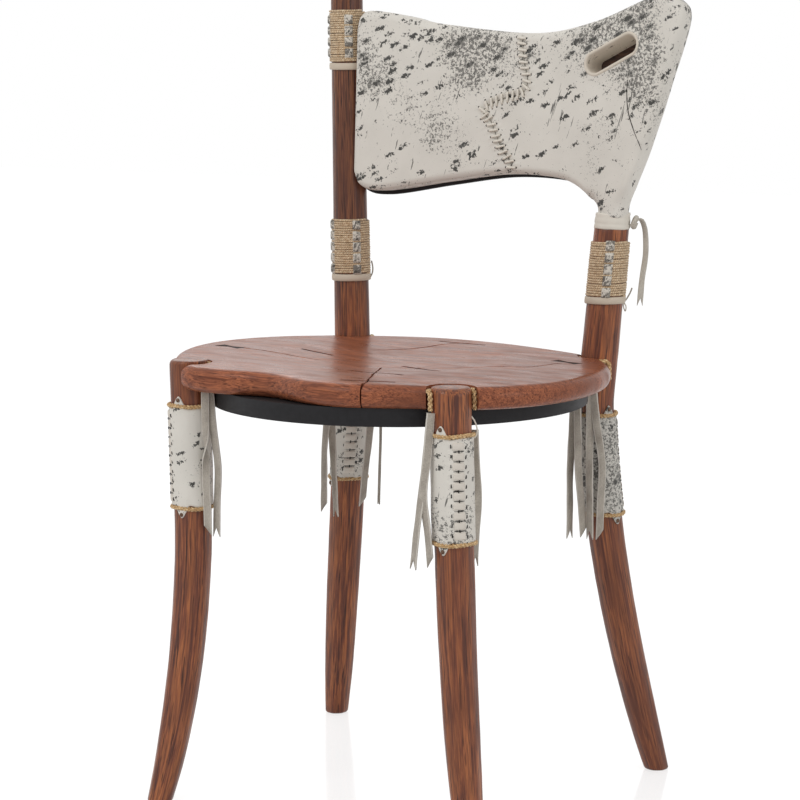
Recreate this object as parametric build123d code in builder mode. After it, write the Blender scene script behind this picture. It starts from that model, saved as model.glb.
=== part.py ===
"""Chair with a slab seat on four saber legs, one tall post and a leather-clad half back.

The floor is z = 0, +Z is up and the sitter faces -Y. The pieces are made round the seat's
middle and moved at the end, so that the origin is on the floor under the middle of the whole
chair's box. Left and right are those of someone who looks at the chair's front, so left is
-X. All sizes are in millimetres.
"""

import os
from copy import copy
from math import atan2, cos, degrees, exp, hypot, radians, sin

from build123d import *

os.makedirs("parts", exist_ok=True)

# ---------------------------------------------------------------------------------------
# Driving dimensions
# ---------------------------------------------------------------------------------------

# Seat: a slab with a wavy natural edge, a rounded rim and a shallow dish
seat_height = 447.0
seat_thickness = 24.0
seat_fall = 0.012  # how much lower the top is towards the right, mm per mm
seat_radius = 210.0
seat_edge_waves = (  # direction in degrees, and how far the edge lies outside seat_radius
    (0, 16), (22, 10), (43, 0), (64, -22), (86, -26), (110, -18), (137, -3), (160, 20), (180, 30),
    (205, 24), (228, 8), (243, -8), (256, -31), (270, -22), (288, -9), (303, -8), (321, 13), (341, 19),
)
rim_round = 10.0
dish_depth = 5.0
dish_radius = 168.0

# Split in the front of the rim, hairline cracks and the keys let in across them
split_direction = 291.0
split_width = 5.0
split_reach = 17.0
crack_width = 0.9
crack_depth = 5.0
spline_width = 2.4
spline_depth = 9.0
bow_tie_length = 34.0
bow_tie_width = 13.0
bow_tie_waist = 4.5
cracks = (
    ((73, -190), (72, -173), (4, -39), (35, -26), (96, 1), (138, 25), (151, 78)),
    ((-77, 58), (-41, 94), (-24, 135), (-4, 160)),
    ((-224, -36), (-207, -21), (-185, -25), (-131, -30), (-83, -34), (-66, -24)),
)
splines = (
    ((-2, -88), (70, -103)),
    ((40, -168), (91, -150)),
    ((15, -18), (76, -43)),
    ((-43, 147), (13, 149)),
    ((-131, 13), (-86, 5)),
)
bow_ties = (((151, 80), -15), ((-197, -23), -12))  # middle and turn of each key

# Ring that the slab and the legs are fastened to
ring_radius = 193.0
ring_bore_radius = 150.0
ring_thickness = 18.0
seat_screw_count = 8
seat_screw_length = 27.0
seat_screw_radius = 2.2
seat_screw_head_radius = 4.4
leg_screw_radius = 3.0
leg_screw_head_radius = 6.5
leg_screw_head_height = 4.0
leg_screw_bite = 24.0

# Legs: the foot lies outside the head by (splay x, splay y), along a curve of power curl
leg_x = seat_radius - 55.5
leg_y = seat_radius - 65.2
leg_head_width = 38.8
leg_foot_width = 25.8
ankle_height = 92.0
foot_round = 3.0
bend_drop = 47.0  # from the seat down to where a leg starts to curve
loft_span = 36.0
post_lean_x = 0.060
post_lean_y = 0.064
tall_post_rise = 429.0  # above the seat, as the next rise is
tall_post_taper = 0.0108
tall_post_round = 6.0
short_post_rise = 157.0
short_post_taper = 0.0200
tenon_radius = 9.0
tenon_length = 34.0

# Cord caulked into the gap between each leg and the slab
cord_width = 4.4
cord_clearance = 0.2
cord_hang = 15.0
cord_bend = 5.0

# Leather sleeves on the legs, with laced seams, cord rings, tongues and tacks
sleeve_thickness = 2.0
tongue_length = 13.0
tack_reach = 8.0
tongue_width = 11.0
lace_width = 2.0
lace_thickness = 1.3
lace_length = 13.0
lace_pitch = 9.5
ring_cord_width = 3.4
tack_radius = 2.3
tack_height = 1.4

# Leather tails that hang under the seat, all facing one way
tail_width = 7.0
tail_thickness = 1.6
tail_point = 14.0
tail_facing = -57.3
tail_clearance = 0.3

# Twine bindings on the posts, with woven leather squares and a leather band below. Each is
# (post, lower end, upper end, directions of its columns of squares)
BINDINGS = {
    "tall_upper": ("back_left", seat_height + 297, seat_height + 356, (-52, -142)),
    "tall_lower": ("back_left", seat_height + 68, seat_height + 129, (-38, -128)),
    "short": ("back_right", seat_height + 60, seat_height + 120, (-62,)),
}
twine_thickness = 2.4
square_side = 8.2
square_height = 9.0
square_pitch = 12.0
square_thickness = 1.1
band_height = 6.5
band_thickness = 2.0

# Back panel, in the plane of the two posts: x is across and h is up from the seat
panel_half = 17.0
board_thickness = 7.0
board_lip = 8.0
panel_sag = 12.0
panel_middle = 6.5
panel_bend_radius = 1026.0
leather_thickness = 2.2
panel_top = 354.0
panel_foot = 158.0
seam = (
    (47, 345), (53, 302), (58, 282), (53, 269), (32, 263), (11, 255), (5, 247),
    (14, 239), (20, 227), (26, 216), (32, 206), (41, 195), (48, 165),
)
stitch_pitch = 7.4
stitch_length = 10.5
stitch_width = 2.0
stitch_height = 1.2
slot_x = leg_x + 8.5
slot_h = 309.0
slot_length = 66.0
slot_width = 20.0
slot_turn = 25.0
slot_depth = 20.0
lining_thickness = 1.6
back_screw_radius = 3.0
back_screw_length = 78.0
back_screw_head_radius = 5.5
back_screw_head_height = 4.0
back_screw_recess = 1.5
back_screw_heights = (200.0, 262.0)
board_screw_radius = 1.8
board_screw_head_radius = 3.8
board_screw_length = 20.0
board_screw_places = ((-110, 190), (-110, 320), (20, 205), (20, 305), (120, 225), (205, 318))

# Cuff at the foot of the panel and its loose tie
cuff_height = 25.0
cuff_thickness = 2.2
tie_width = 4.6
tie_drop = 92.0

# ---------------------------------------------------------------------------------------
# Shared forms
# ---------------------------------------------------------------------------------------

leg_head_radius = leg_head_width / 2
bend_height = seat_height - bend_drop
tall_post_height = seat_height + tall_post_rise
short_post_height = seat_height + short_post_rise
slab_bottom = seat_height - seat_thickness
ring_bottom = slab_bottom - ring_thickness
under_slab = slab_bottom - tail_clearance
under_ring = ring_bottom - tail_clearance
seat_top = Plane(origin=(0, 0, seat_height), z_dir=(seat_fall, 0, 1))

# sleeve is the height of its lower and upper edge, lace_side and tongue_side are directions
LEGS = {
    "front_left": {
        "corner": (-1, -1), "splay": (14.6, 45.7), "curl": 2.85, "lean": (0, 0), "taper": 0,
        "sleeve": (ring_bottom - 111, ring_bottom - 5),
        "lace_side": 223, "tongue_side": -86,
    },
    "front_right": {
        "corner": (1, -1), "splay": (39.7, 30.8), "curl": 2.15, "lean": (0, 0), "taper": 0,
        "sleeve": (ring_bottom - 109, ring_bottom - 6),
        "lace_side": -41, "tongue_side": -89,
    },
    "back_left": {
        "corner": (-1, 1), "splay": (69.0, 67.2), "curl": 1.0,
        "lean": (post_lean_x, post_lean_y), "taper": tall_post_taper,
        "sleeve": (ring_bottom - 121, ring_bottom - 13),
        "lace_side": -55, "tongue_side": -125,
    },
    "back_right": {
        "corner": (1, 1), "splay": (49.4, 52.8), "curl": 1.65,
        "lean": (post_lean_x, post_lean_y), "taper": short_post_taper,
        "sleeve": (ring_bottom - 128, ring_bottom - 19),
        "lace_side": 43, "tongue_side": -20,
    },
}

# Each tail is (distance in front of the leg's centre, sideways place at its top, half way and
# lower end, height of its top, length)
TAILS = {
    "front_left": ((21.0, 13, 13, 15, under_slab, 154.7), (18.4, 17.5, 25, 23, under_slab, 156.7)),
    "front_right": (
        (11.2, -22, -31, -39, under_slab - 0.5, 151.2), (13.4, -22, -29, -22, under_slab - 0.5, 149.2),
        (-18.0, 20, 24, 21, under_ring - 2.7, 134.0),
    ),
    "back_left": (
        (30.0, -25, -31, -32, under_ring, 154.7), (25.5, -21, -18, -16, under_ring, 160.7),
        (21.4, 23, 17, 10, under_ring, 149.7), (14.0, 31, 30, 28, under_ring, 147.7),
    ),
    "back_right": (
        (12.0, -24, -30, -32, under_ring, 152.7), (21.0, -21, -19, -13, under_ring, 151.7),
        (23.4, -8, -8, -7, under_slab, 172.7), (25.6, -6, 5, 3, under_slab, 171.7),
    ),
}


def leg_center(leg, z):
    """Centre of a leg or post at height z: straight above bend_height, curved outward below."""
    rise = max(z, bend_height) - seat_height
    drop = max(0.0, (bend_height - z) / bend_height) ** leg["curl"]
    across = leg_x + leg["lean"][0] * rise + leg["splay"][0] * drop
    along = leg_y + leg["lean"][1] * rise + leg["splay"][1] * drop
    return leg["corner"][0] * across, leg["corner"][1] * along


def leg_radius(leg, z):
    """Radius of a leg at height z: drawn in at the ankle, and tapering above the seat."""
    if z > seat_height:
        return leg_head_radius - leg["taper"] * (z - seat_height) / 2
    return leg_head_radius - (leg_head_width - leg_foot_width) / 2 * exp(-z / ankle_height)


def limb(leg, low, high, grow=0.0):
    """The stretch of a leg from low to high, thicker all round by grow."""
    heights = [z for z in (bend_height, seat_height) if low < z < high] + [low, high]
    curved = min(high, bend_height) - low
    spans = round(curved / loft_span)
    heights += [low + curved * span / spans for span in range(1, spans)]
    with BuildPart() as stretch:
        for z in sorted(heights):
            with BuildSketch(Plane(origin=(*leg_center(leg, z), z), x_dir=(0, 1, 0))):
                Circle(leg_radius(leg, z) + grow)
        loft(ruled=True)
    return stretch.part


def around(leg, z, direction):
    """Vertical plane through a leg's centre, whose z axis points in a direction in degrees."""
    x, y = leg_center(leg, z)
    turn = radians(direction)
    return Plane(origin=(x, y, z), x_dir=(-sin(turn), cos(turn), 0), z_dir=(cos(turn), sin(turn), 0))


def outward(leg):
    """Direction in degrees from the seat's middle to a leg."""
    return degrees(atan2(leg["corner"][1] * leg_y, leg["corner"][0] * leg_x))


# ---------------------------------------------------------------------------------------
# Seat slab, its keys and the ring below
# ---------------------------------------------------------------------------------------


def polar(direction, radius):
    """Point at a direction in degrees and a radius."""
    return radius * cos(radians(direction)), radius * sin(radians(direction))


with BuildPart() as slab_blank:
    with BuildSketch(Plane.XY.offset(slab_bottom)):
        with BuildLine():
            Spline([polar(turn, seat_radius + wave) for turn, wave in seat_edge_waves], periodic=True)
        make_face()
    extrude(amount=seat_thickness + 6)
    split(bisect_by=seat_top, keep=Keep.BOTTOM)
    fillet(faces().sort_by(Axis.Z)[0].edges() + faces().sort_by(Axis.Z)[-1].edges(), rim_round)
    with BuildSketch(Plane.XZ):
        with BuildLine():
            Line((0, seat_height + 20), (0, seat_height - dish_depth))
            Spline(
                (0, seat_height - dish_depth), (dish_radius * 0.5, seat_height - dish_depth * 0.6),
                (dish_radius, seat_height + 2), tangents=((1, 0), (1, 0.02)),
            )
            Line((dish_radius, seat_height + 2), (dish_radius, seat_height + 20))
            Line((dish_radius, seat_height + 20), (0, seat_height + 20))
        make_face()
    revolve(axis=Axis.Z, mode=Mode.SUBTRACT)

notch_radius = leg_head_radius + cord_width + 2 * cord_clearance

with BuildPart() as notches:
    for leg in LEGS.values():
        add(limb(leg, slab_bottom - 1, seat_height + 8, notch_radius - leg_head_radius))
        mouth = Plane(
            origin=(*leg_center(leg, seat_height), slab_bottom - 1), x_dir=(*polar(outward(leg), 1), 0)
        )
        with BuildSketch(mouth):
            Rectangle(2 * notch_radius, 2 * notch_radius, align=(Align.MIN, Align.CENTER))
        extrude(amount=seat_thickness + 10)

key_bottom = seat_height - dish_depth - spline_depth
key_height = spline_depth + 3 * dish_depth

with BuildPart() as spline_beds:
    for ends in splines:
        with BuildSketch(Plane.XY.offset(key_bottom)):
            with BuildLine():
                Polyline(*ends)
            trace(line_width=spline_width)
        extrude(amount=key_height)

with BuildPart() as bow_tie_beds:
    for middle, turn in bow_ties:
        with BuildSketch(Plane(origin=(*middle, key_bottom), x_dir=(*polar(turn, 1), 0))):
            for side in (-1, 1):
                with BuildLine():
                    tip = side * bow_tie_length / 2
                    Polyline(
                        (0, -bow_tie_waist / 2), (tip, -bow_tie_width / 2), (tip, bow_tie_width / 2),
                        (0, bow_tie_waist / 2), close=True,
                    )
                make_face()
        extrude(amount=key_height)

with BuildPart() as crack_cuts:
    for route in cracks:
        with BuildSketch(Plane.XY.offset(seat_height - dish_depth - crack_depth)):
            with BuildLine():
                Polyline(*route)
            trace(line_width=crack_width)
        extrude(amount=crack_depth + 3 * dish_depth)
    front_of_split = seat_radius + rim_round
    with BuildSketch(Plane(origin=(0, 0, slab_bottom), x_dir=(*polar(split_direction, 1), 0))):
        with BuildLine():
            Polyline(
                (seat_radius - rim_round - split_reach, 0), (front_of_split, -split_width),
                (front_of_split, split_width), close=True,
            )
        make_face()
    extrude(amount=seat_thickness + dish_depth)

with BuildPart() as seat_screws:
    with Locations((0, 0, ring_bottom)):
        with PolarLocations((ring_radius + ring_bore_radius) / 2, seat_screw_count, start_angle=20):
            Cylinder(seat_screw_radius, seat_screw_length, align=(Align.CENTER, Align.CENTER, Align.MIN))
            Cone(
                seat_screw_head_radius, seat_screw_radius, seat_screw_head_radius - seat_screw_radius,
                align=(Align.CENTER, Align.CENTER, Align.MIN),
            )

screw_height = ring_bottom + ring_thickness / 2

with BuildPart() as leg_screws:
    for leg in LEGS.values():
        head_seat = Plane(
            origin=(*polar(outward(leg), ring_bore_radius), screw_height), z_dir=(*polar(outward(leg), 1), 0)
        )
        with BuildSketch(head_seat):
            Circle(leg_screw_head_radius)
        extrude(amount=-leg_screw_head_height)
        with BuildSketch(head_seat):
            Circle(leg_screw_radius)
        extrude(amount=ring_radius - ring_bore_radius + leg_screw_bite)

with BuildPart() as seat_slab:
    add(slab_blank.part)
    add(notches.part, mode=Mode.SUBTRACT)
    add(crack_cuts.part, mode=Mode.SUBTRACT)
    add(spline_beds.part, mode=Mode.SUBTRACT)
    add(bow_tie_beds.part, mode=Mode.SUBTRACT)
    add(seat_screws.part, mode=Mode.SUBTRACT)

with BuildPart() as seat_splines:
    add(slab_blank.part)
    add(spline_beds.part, mode=Mode.INTERSECT)

with BuildPart() as seat_bow_ties:
    add(slab_blank.part)
    add(bow_tie_beds.part, mode=Mode.INTERSECT)

# ---------------------------------------------------------------------------------------
# Legs and posts
# ---------------------------------------------------------------------------------------

back_plane = Plane(
    origin=(0, leg_y, seat_height), x_dir=(1, 0, 0), z_dir=(0, -1, post_lean_y)
)


def back_screw_plane(height):
    """Where a back screw's head sits on the tall post's far side, its z axis into the panel."""
    post = LEGS["back_left"]
    x, y = leg_center(post, seat_height + height)
    seat_depth = leg_radius(post, seat_height + height) - back_screw_recess - back_screw_head_height
    return Plane(origin=(x - seat_depth, y, seat_height + height), z_dir=(1, 0, 0))


with BuildPart() as back_screws:
    for height in back_screw_heights:
        with BuildSketch(back_screw_plane(height)):
            Circle(back_screw_head_radius)
        extrude(amount=-back_screw_head_height)
        with BuildSketch(back_screw_plane(height)):
            Circle(back_screw_radius)
        extrude(amount=back_screw_length)

with BuildPart() as tenon:
    with BuildSketch(Plane(origin=(*leg_center(LEGS["back_right"], short_post_height), short_post_height))):
        Circle(tenon_radius)
    extrude(dir=(post_lean_x, post_lean_y, 1), amount=tenon_length)


def make_leg(name):
    """One leg from the floor up: front legs end flush with the seat, back legs run on as posts."""
    leg = LEGS[name]
    tops = {"back_left": tall_post_height, "back_right": short_post_height}
    with BuildPart() as limb_part:
        add(limb(leg, 0, tops.get(name, seat_height + 6)))
        fillet(edges().group_by(Axis.Z)[0], foot_round)
        if name not in tops:
            split(bisect_by=seat_top, keep=Keep.BOTTOM)
        if name == "back_left":
            fillet(edges().group_by(Axis.Z)[-1], tall_post_round)
            for height in back_screw_heights:
                with BuildSketch(back_screw_plane(height)):
                    Circle(back_screw_head_radius)
                extrude(amount=-leg_head_radius, mode=Mode.SUBTRACT)
            add(back_screws.part, mode=Mode.SUBTRACT)
        if name == "back_right":
            add(tenon.part)
        add(leg_screws.part, mode=Mode.SUBTRACT)
    return limb_part.part


leg_parts = {name: make_leg(name) for name in LEGS}

with BuildPart() as under_seat_ring:
    with BuildSketch(Plane.XY.offset(ring_bottom)):
        Circle(ring_radius)
        Circle(ring_bore_radius, mode=Mode.SUBTRACT)
    extrude(amount=ring_thickness)
    for leg in LEGS.values():
        add(limb(leg, ring_bottom - 1, slab_bottom + 1), mode=Mode.SUBTRACT)
    add(leg_screws.part, mode=Mode.SUBTRACT)
    add(seat_screws.part, mode=Mode.SUBTRACT)


def make_joint_cord(leg):
    """Cord that fills the gap round a leg: up the rim, round the head's inner side and down."""
    radius = leg_head_radius + cord_clearance + cord_width / 2
    crest = seat_height - seat_fall * leg_center(leg, seat_height)[0]
    level = Plane(
        origin=(*leg_center(leg, crest), crest - cord_width / 2 - cord_clearance),
        x_dir=(*polar(outward(leg), -1), 0),
    )
    drop = Vector(0, 0, -1)
    out = level.x_dir * -1
    left, middle, right = (level.from_local_coords(point) for point in ((0, -radius), (radius, 0), (0, radius)))
    down_left, down_right = (end + out * cord_bend + drop * cord_bend for end in (left, right))
    with BuildPart() as cord:
        with BuildLine() as route:
            Line(down_left + drop * cord_hang, down_left)
            TangentArc(down_left, left, tangent=drop * -1)
            ThreePointArc(left, middle, right)
            TangentArc(right, down_right, tangent=out)
            Line(down_right, down_right + drop * cord_hang)
        with BuildSketch(Plane(origin=down_left + drop * cord_hang, z_dir=(0, 0, 1))):
            Circle(cord_width / 2)
        sweep(path=route.wire())
    return cord.part


joint_cords = {name: make_joint_cord(leg) for name, leg in LEGS.items()}

# ---------------------------------------------------------------------------------------
# Leather sleeves and their trimmings
# ---------------------------------------------------------------------------------------


def make_sleeve(name):
    """Leather round a leg, with a pointed tongue at its top and its bottom edge."""
    leg = LEGS[name]
    low, high = leg["sleeve"]
    with BuildPart() as outline:
        with BuildSketch(Plane(origin=(*leg_center(leg, low), low))):
            Circle(2 * leg_head_radius)
        extrude(amount=high - low)
        for edge_height, way in ((low, -1), (high, 1)):
            with BuildSketch(around(leg, edge_height, leg["tongue_side"])):
                with BuildLine():
                    Polyline(
                        (-tongue_width / 2, -way), (-tongue_width / 2, way * tongue_length / 2),
                        (0, way * tongue_length), (tongue_width / 2, way * tongue_length / 2),
                        (tongue_width / 2, -way), close=True,
                    )
                make_face()
            extrude(amount=2 * leg_head_radius)
        add(leg_screws.part, mode=Mode.SUBTRACT)
    with BuildPart() as sleeve:
        add(limb(leg, low - tongue_length - 1, high + tongue_length + 1, sleeve_thickness))
        add(outline.part, mode=Mode.INTERSECT)
        add(leg_parts[name], mode=Mode.SUBTRACT)
    return sleeve.part


sleeves = {name: make_sleeve(name) for name in LEGS}


def make_lacing(name):
    """Rungs of lace across a sleeve's seam."""
    leg = LEGS[name]
    low, high = leg["sleeve"]
    count = int((high - low - 2 * lace_pitch / 2) // lace_pitch)
    first = (low + high - (count - 1) * lace_pitch) / 2
    with BuildPart() as bars:
        for rung in range(count):
            with BuildSketch(around(leg, first + rung * lace_pitch, leg["lace_side"])):
                Rectangle(lace_length, lace_width)
            extrude(amount=2 * leg_head_radius)
    with BuildPart() as lacing:
        add(limb(leg, low, high, sleeve_thickness + lace_thickness))
        add(bars.part, mode=Mode.INTERSECT)
        add(sleeves[name], mode=Mode.SUBTRACT)
        add(leg_parts[name], mode=Mode.SUBTRACT)
    return lacing.part


lacings = {name: make_lacing(name) for name in LEGS}


def make_ring_cords(name):
    """Cord rings that close a sleeve, one above its top edge and one below its bottom edge."""
    leg = LEGS[name]
    low, high = leg["sleeve"]
    flat = ring_cord_width / 4
    with BuildPart() as rings:
        for z in (low - ring_cord_width / 2, high + ring_cord_width / 2):
            x, y = leg_center(leg, z)
            inner = leg_radius(leg, z) - 0.5
            with BuildSketch(Plane(origin=(x, y, z), x_dir=(1, 0, 0), z_dir=(0, -1, 0))):
                with BuildLine():
                    Polyline(
                        (inner, -2 * flat), (inner + 0.5 + 3 * flat, -2 * flat), (inner + 0.5 + 4 * flat, 0),
                        (inner + 0.5 + 3 * flat, 2 * flat), (inner, 2 * flat), close=True,
                    )
                make_face()
            revolve(axis=Axis((x, y, z), (0, 0, 1)))
        add(leg_parts[name], mode=Mode.SUBTRACT)
        add(sleeves[name], mode=Mode.SUBTRACT)
    return rings.part


ring_cords = {name: make_ring_cords(name) for name in LEGS}

with BuildPart() as sleeve_tacks:
    for name, leg in LEGS.items():
        low, high = leg["sleeve"]
        for z in (low - tack_reach, high + tack_reach):
            face = around(leg, z, leg["tongue_side"]).offset(leg_radius(leg, z) + sleeve_thickness - 0.6)
            with BuildSketch(face):
                Circle(tack_radius)
            extrude(amount=tack_height + 0.6, taper=18)
    for sleeve in sleeves.values():
        add(sleeve, mode=Mode.SUBTRACT)


def strip(face, width, thickness, top, middle, low, point):
    """Flat strip of leather in a plane, bowed through three points, with a pointed lower end."""
    half = width / 2
    with BuildPart() as band:
        with BuildSketch(face):
            with BuildLine():
                ThreePointArc(
                    (top[0] - half, top[1]), (middle[0] - half, middle[1]), (low[0] - half, low[1] + point)
                )
                Line((low[0] - half, low[1] + point), low)
                Line(low, (low[0] + half, low[1] + point))
                ThreePointArc(
                    (low[0] + half, low[1] + point), (middle[0] + half, middle[1]), (top[0] + half, top[1])
                )
                Line((top[0] + half, top[1]), (top[0] - half, top[1]))
            make_face()
        extrude(amount=thickness)
    return band.part


def make_tails(name):
    """Leather tails that hang beside a leg."""
    leg = LEGS[name]
    with BuildPart() as tails:
        for front, at_top, at_middle, at_low, high, drop in TAILS[name]:
            face = around(leg, high, tail_facing).offset(front)
            add(strip(
                face, tail_width, tail_thickness, (at_top, 0), (at_middle + 0.2, -0.5 * drop), (at_low, -drop),
                tail_point,
            ))
    return tails.part


tails = {name: make_tails(name) for name in LEGS}

# ---------------------------------------------------------------------------------------
# Twine bindings on the posts
# ---------------------------------------------------------------------------------------


def make_binding(post, low, high):
    """Close turns of twine round a post."""
    with BuildPart() as binding:
        add(limb(LEGS[post], low, high, twine_thickness))
        add(leg_parts[post], mode=Mode.SUBTRACT)
    return binding.part


def make_squares(post, low, high, columns):
    """Columns of small leather squares woven into a binding."""
    leg = LEGS[post]
    count = int((high - low) // square_pitch)
    with BuildPart() as plates:
        for direction in columns:
            with BuildSketch(around(leg, (low + high) / 2, direction)):
                with GridLocations(0, square_pitch, 1, count):
                    Rectangle(square_side, square_height)
            extrude(amount=2 * leg_head_radius)
    with BuildPart() as squares:
        add(limb(leg, low, high, twine_thickness + square_thickness))
        add(plates.part, mode=Mode.INTERSECT)
        add(limb(leg, low - 1, high + 1, twine_thickness), mode=Mode.SUBTRACT)
    return squares.part


def make_band(post, low):
    """Leather band right below a binding."""
    with BuildPart() as band:
        add(limb(LEGS[post], low - band_height, low, band_thickness))
        add(leg_parts[post], mode=Mode.SUBTRACT)
    return band.part


bindings = {name: make_binding(post, low, high) for name, (post, low, high, _) in BINDINGS.items()}
squares = {name: make_squares(*spec) for name, spec in BINDINGS.items()}
bands = {name: make_band(post, low) for name, (post, low, *_) in BINDINGS.items()}

# ---------------------------------------------------------------------------------------
# Back panel: board, core, two laced hides, blind finger slot and cuff
# ---------------------------------------------------------------------------------------

bend_center = (panel_middle, panel_sag - panel_bend_radius)
bend_plane = Plane(origin=(0, leg_y, seat_height), x_dir=(1, 0, 0), z_dir=(0, post_lean_y, 1))


def layer(front, back):
    """Curved sheet between two distances in front of the panel's middle surface."""
    with BuildPart() as sheet:
        with BuildSketch(bend_plane):
            with Locations(bend_center):
                Circle(panel_bend_radius - back)
                Circle(panel_bend_radius - front, mode=Mode.SUBTRACT)
            with Locations((0, panel_sag)):
                Rectangle(3 * leg_x * 2, 8 * panel_half, mode=Mode.INTERSECT)
        extrude(amount=tall_post_height - seat_height)
    return sheet.part


def post_side(h):
    """Where the tall post's inner side runs, h above the seat."""
    post = LEGS["back_left"]
    return leg_center(post, seat_height + h)[0] + leg_radius(post, seat_height + h)


def panel_prism(inset=0.0, lip=0.0):
    """The panel's outline, drawn in by inset and let down by lip at its lower left."""
    tail_x = leg_center(LEGS["back_right"], seat_height + panel_foot)[0]
    tail_half = leg_radius(LEGS["back_right"], short_post_height) + cuff_thickness - inset
    side = post_side(panel_top / 2) - 2
    middle = (side + tail_x) / 2

    def inner(x, h, facing):
        """A point of the outline, moved in from the way that the edge faces there."""
        return x - inset * cos(radians(facing)), h - inset * sin(radians(facing))

    with BuildPart() as prism:
        with BuildSketch(back_plane):
            with BuildLine():
                upper = Spline(
                    inner(side + 20, panel_top, 90), inner(side + 96, 341, 88), inner(middle + 54, 331.5, 90),
                    inner(tail_x - 28, 343, 102), inner(tail_x + 46, 368, 104), tangents=((1, 0), (1, 0.25)),
                )
                tip = ThreePointArc(upper @ 1, inner(tail_x + 74, 365, 60), inner(tail_x + 85, 344, -5))
                right = Spline(
                    tip @ 1, inner(tail_x + 67, 283, -17), inner(tail_x + 41, 212, -18),
                    (tail_x + tail_half, panel_foot),
                    tangents=(tip % 1, (-0.28, -1)),
                )
                foot = Line(right @ 1, (tail_x - tail_half, panel_foot))
                lower = Spline(
                    foot @ 1, inner(tail_x - 40, 172 - 0.2 * lip, -120),
                    inner(tail_x - 72, 180 - 0.3 * lip, -95),
                    inner(middle + 20, 182 - 0.4 * lip, -88), inner(side + 103, 171 - 0.8 * lip, -80),
                    inner(side + 32, 158 - lip, -85), tangents=((-0.3, 1), (-1, -0.14)),
                )
                corner = ThreePointArc(lower @ 1, inner(side + 9, 164 - lip, -130), inner(side, 180 - lip, 180))
                edge = Line(corner @ 1, inner(side, panel_top - 18, 180))
                ThreePointArc(edge @ 1, inner(side + 6, panel_top - 5, 135), upper @ 0)
            make_face()
        extrude(amount=3 * panel_half, both=True)
    return prism.part


def slot_prism(grow):
    """The finger slot's outline, larger all round by grow."""
    turn = radians(slot_turn)
    slot_plane = Plane(
        origin=back_plane.from_local_coords((slot_x, slot_h, 0)),
        x_dir=back_plane.x_dir * cos(turn) + back_plane.y_dir * sin(turn), z_dir=back_plane.z_dir,
    )
    with BuildPart() as prism:
        with BuildSketch(slot_plane):
            SlotOverall(slot_length + 2 * grow, slot_width + 2 * grow)
        extrude(amount=3 * panel_half, both=True)
    return prism.part


board_face = board_thickness - panel_half
post_low, post_high = seat_height, tall_post_height - tall_post_round - 1
wrap_low = BINDINGS["tall_upper"][1] - band_height - 1
wrap_high = BINDINGS["tall_upper"][2] + 1

with BuildPart() as post_clearance:
    add(limb(LEGS["back_left"], post_low, post_high))
    add(limb(LEGS["back_left"], wrap_low, wrap_high, twine_thickness + square_thickness + cord_clearance))

with BuildPart() as short_post:
    add(leg_parts["back_right"])

with BuildPart() as slot_pocket:
    add(slot_prism(lining_thickness))
    add(layer(panel_half + 2 * slot_depth, panel_half - slot_depth), mode=Mode.INTERSECT)

with BuildPart() as board_screws:
    for x, h in board_screw_places:
        depth = panel_sag - (x - panel_middle) ** 2 / (2 * panel_bend_radius) + panel_half
        back_spot = Plane(origin=back_plane.from_local_coords((x, h, -depth)), z_dir=back_plane.z_dir)
        with BuildSketch(back_spot):
            Circle(board_screw_head_radius)
        with BuildSketch(back_spot.offset(board_screw_head_radius - board_screw_radius)):
            Circle(board_screw_radius)
        loft()
        with BuildSketch(back_spot):
            Circle(board_screw_radius)
        extrude(amount=board_screw_length)

with BuildPart() as backrest_board:
    add(panel_prism(lip=board_lip))
    add(layer(board_face, -panel_half), mode=Mode.INTERSECT)
    for cutter in (post_clearance, short_post, back_screws, board_screws):
        add(cutter.part, mode=Mode.SUBTRACT)

with BuildPart() as core_form:
    add(panel_prism(inset=leather_thickness))
    add(layer(panel_half - leather_thickness, board_face), mode=Mode.INTERSECT)

with BuildPart() as backrest_core:
    add(core_form.part)
    for cutter in (post_clearance, short_post, back_screws, board_screws, slot_pocket):
        add(cutter.part, mode=Mode.SUBTRACT)

with BuildPart() as cover:
    add(panel_prism())
    add(layer(panel_half, board_face), mode=Mode.INTERSECT)
    for cutter in (core_form, post_clearance, short_post, back_screws, slot_pocket):
        add(cutter.part, mode=Mode.SUBTRACT)

with BuildPart() as left_side:
    with BuildSketch(back_plane):
        with BuildLine():
            Polyline(
                (seam[0][0], panel_top + 50), *seam, (seam[-1][0], panel_foot - 50),
                (-2 * leg_x, panel_foot - 50), (-2 * leg_x, panel_top + 50), close=True,
            )
        make_face()
    extrude(amount=3 * panel_half, both=True)

with BuildPart() as backrest_hide_left:
    add(cover.part)
    add(left_side.part, mode=Mode.INTERSECT)

with BuildPart() as backrest_hide_right:
    add(cover.part)
    add(left_side.part, mode=Mode.SUBTRACT)

with BuildPart() as slot_lining:
    add(slot_prism(lining_thickness))
    add(slot_prism(0), mode=Mode.SUBTRACT)
    add(layer(panel_half, panel_half - slot_depth), mode=Mode.INTERSECT)


def along_seam():
    """Middle and direction in degrees of each stitch over the seam."""
    spent = stitch_pitch / 2
    for (x0, h0), (x1, h1) in zip(seam, seam[1:]):
        run = hypot(x1 - x0, h1 - h0)
        while spent < run:
            share = spent / run
            yield x0 + share * (x1 - x0), h0 + share * (h1 - h0), degrees(atan2(h1 - h0, x1 - x0))
            spent += stitch_pitch
        spent -= run


with BuildPart() as stitch_bars:
    with BuildSketch(back_plane):
        for x, h, turn in along_seam():
            if panel_foot + 24 < h < panel_top - 26:
                with Locations(Location((x, h, 0), (0, 0, turn + 90))):
                    Rectangle(stitch_length, stitch_width)
    extrude(amount=3 * panel_half, both=True)

with BuildPart() as seam_stitches:
    add(stitch_bars.part)
    add(layer(panel_half + stitch_height, panel_half), mode=Mode.INTERSECT)

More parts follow.
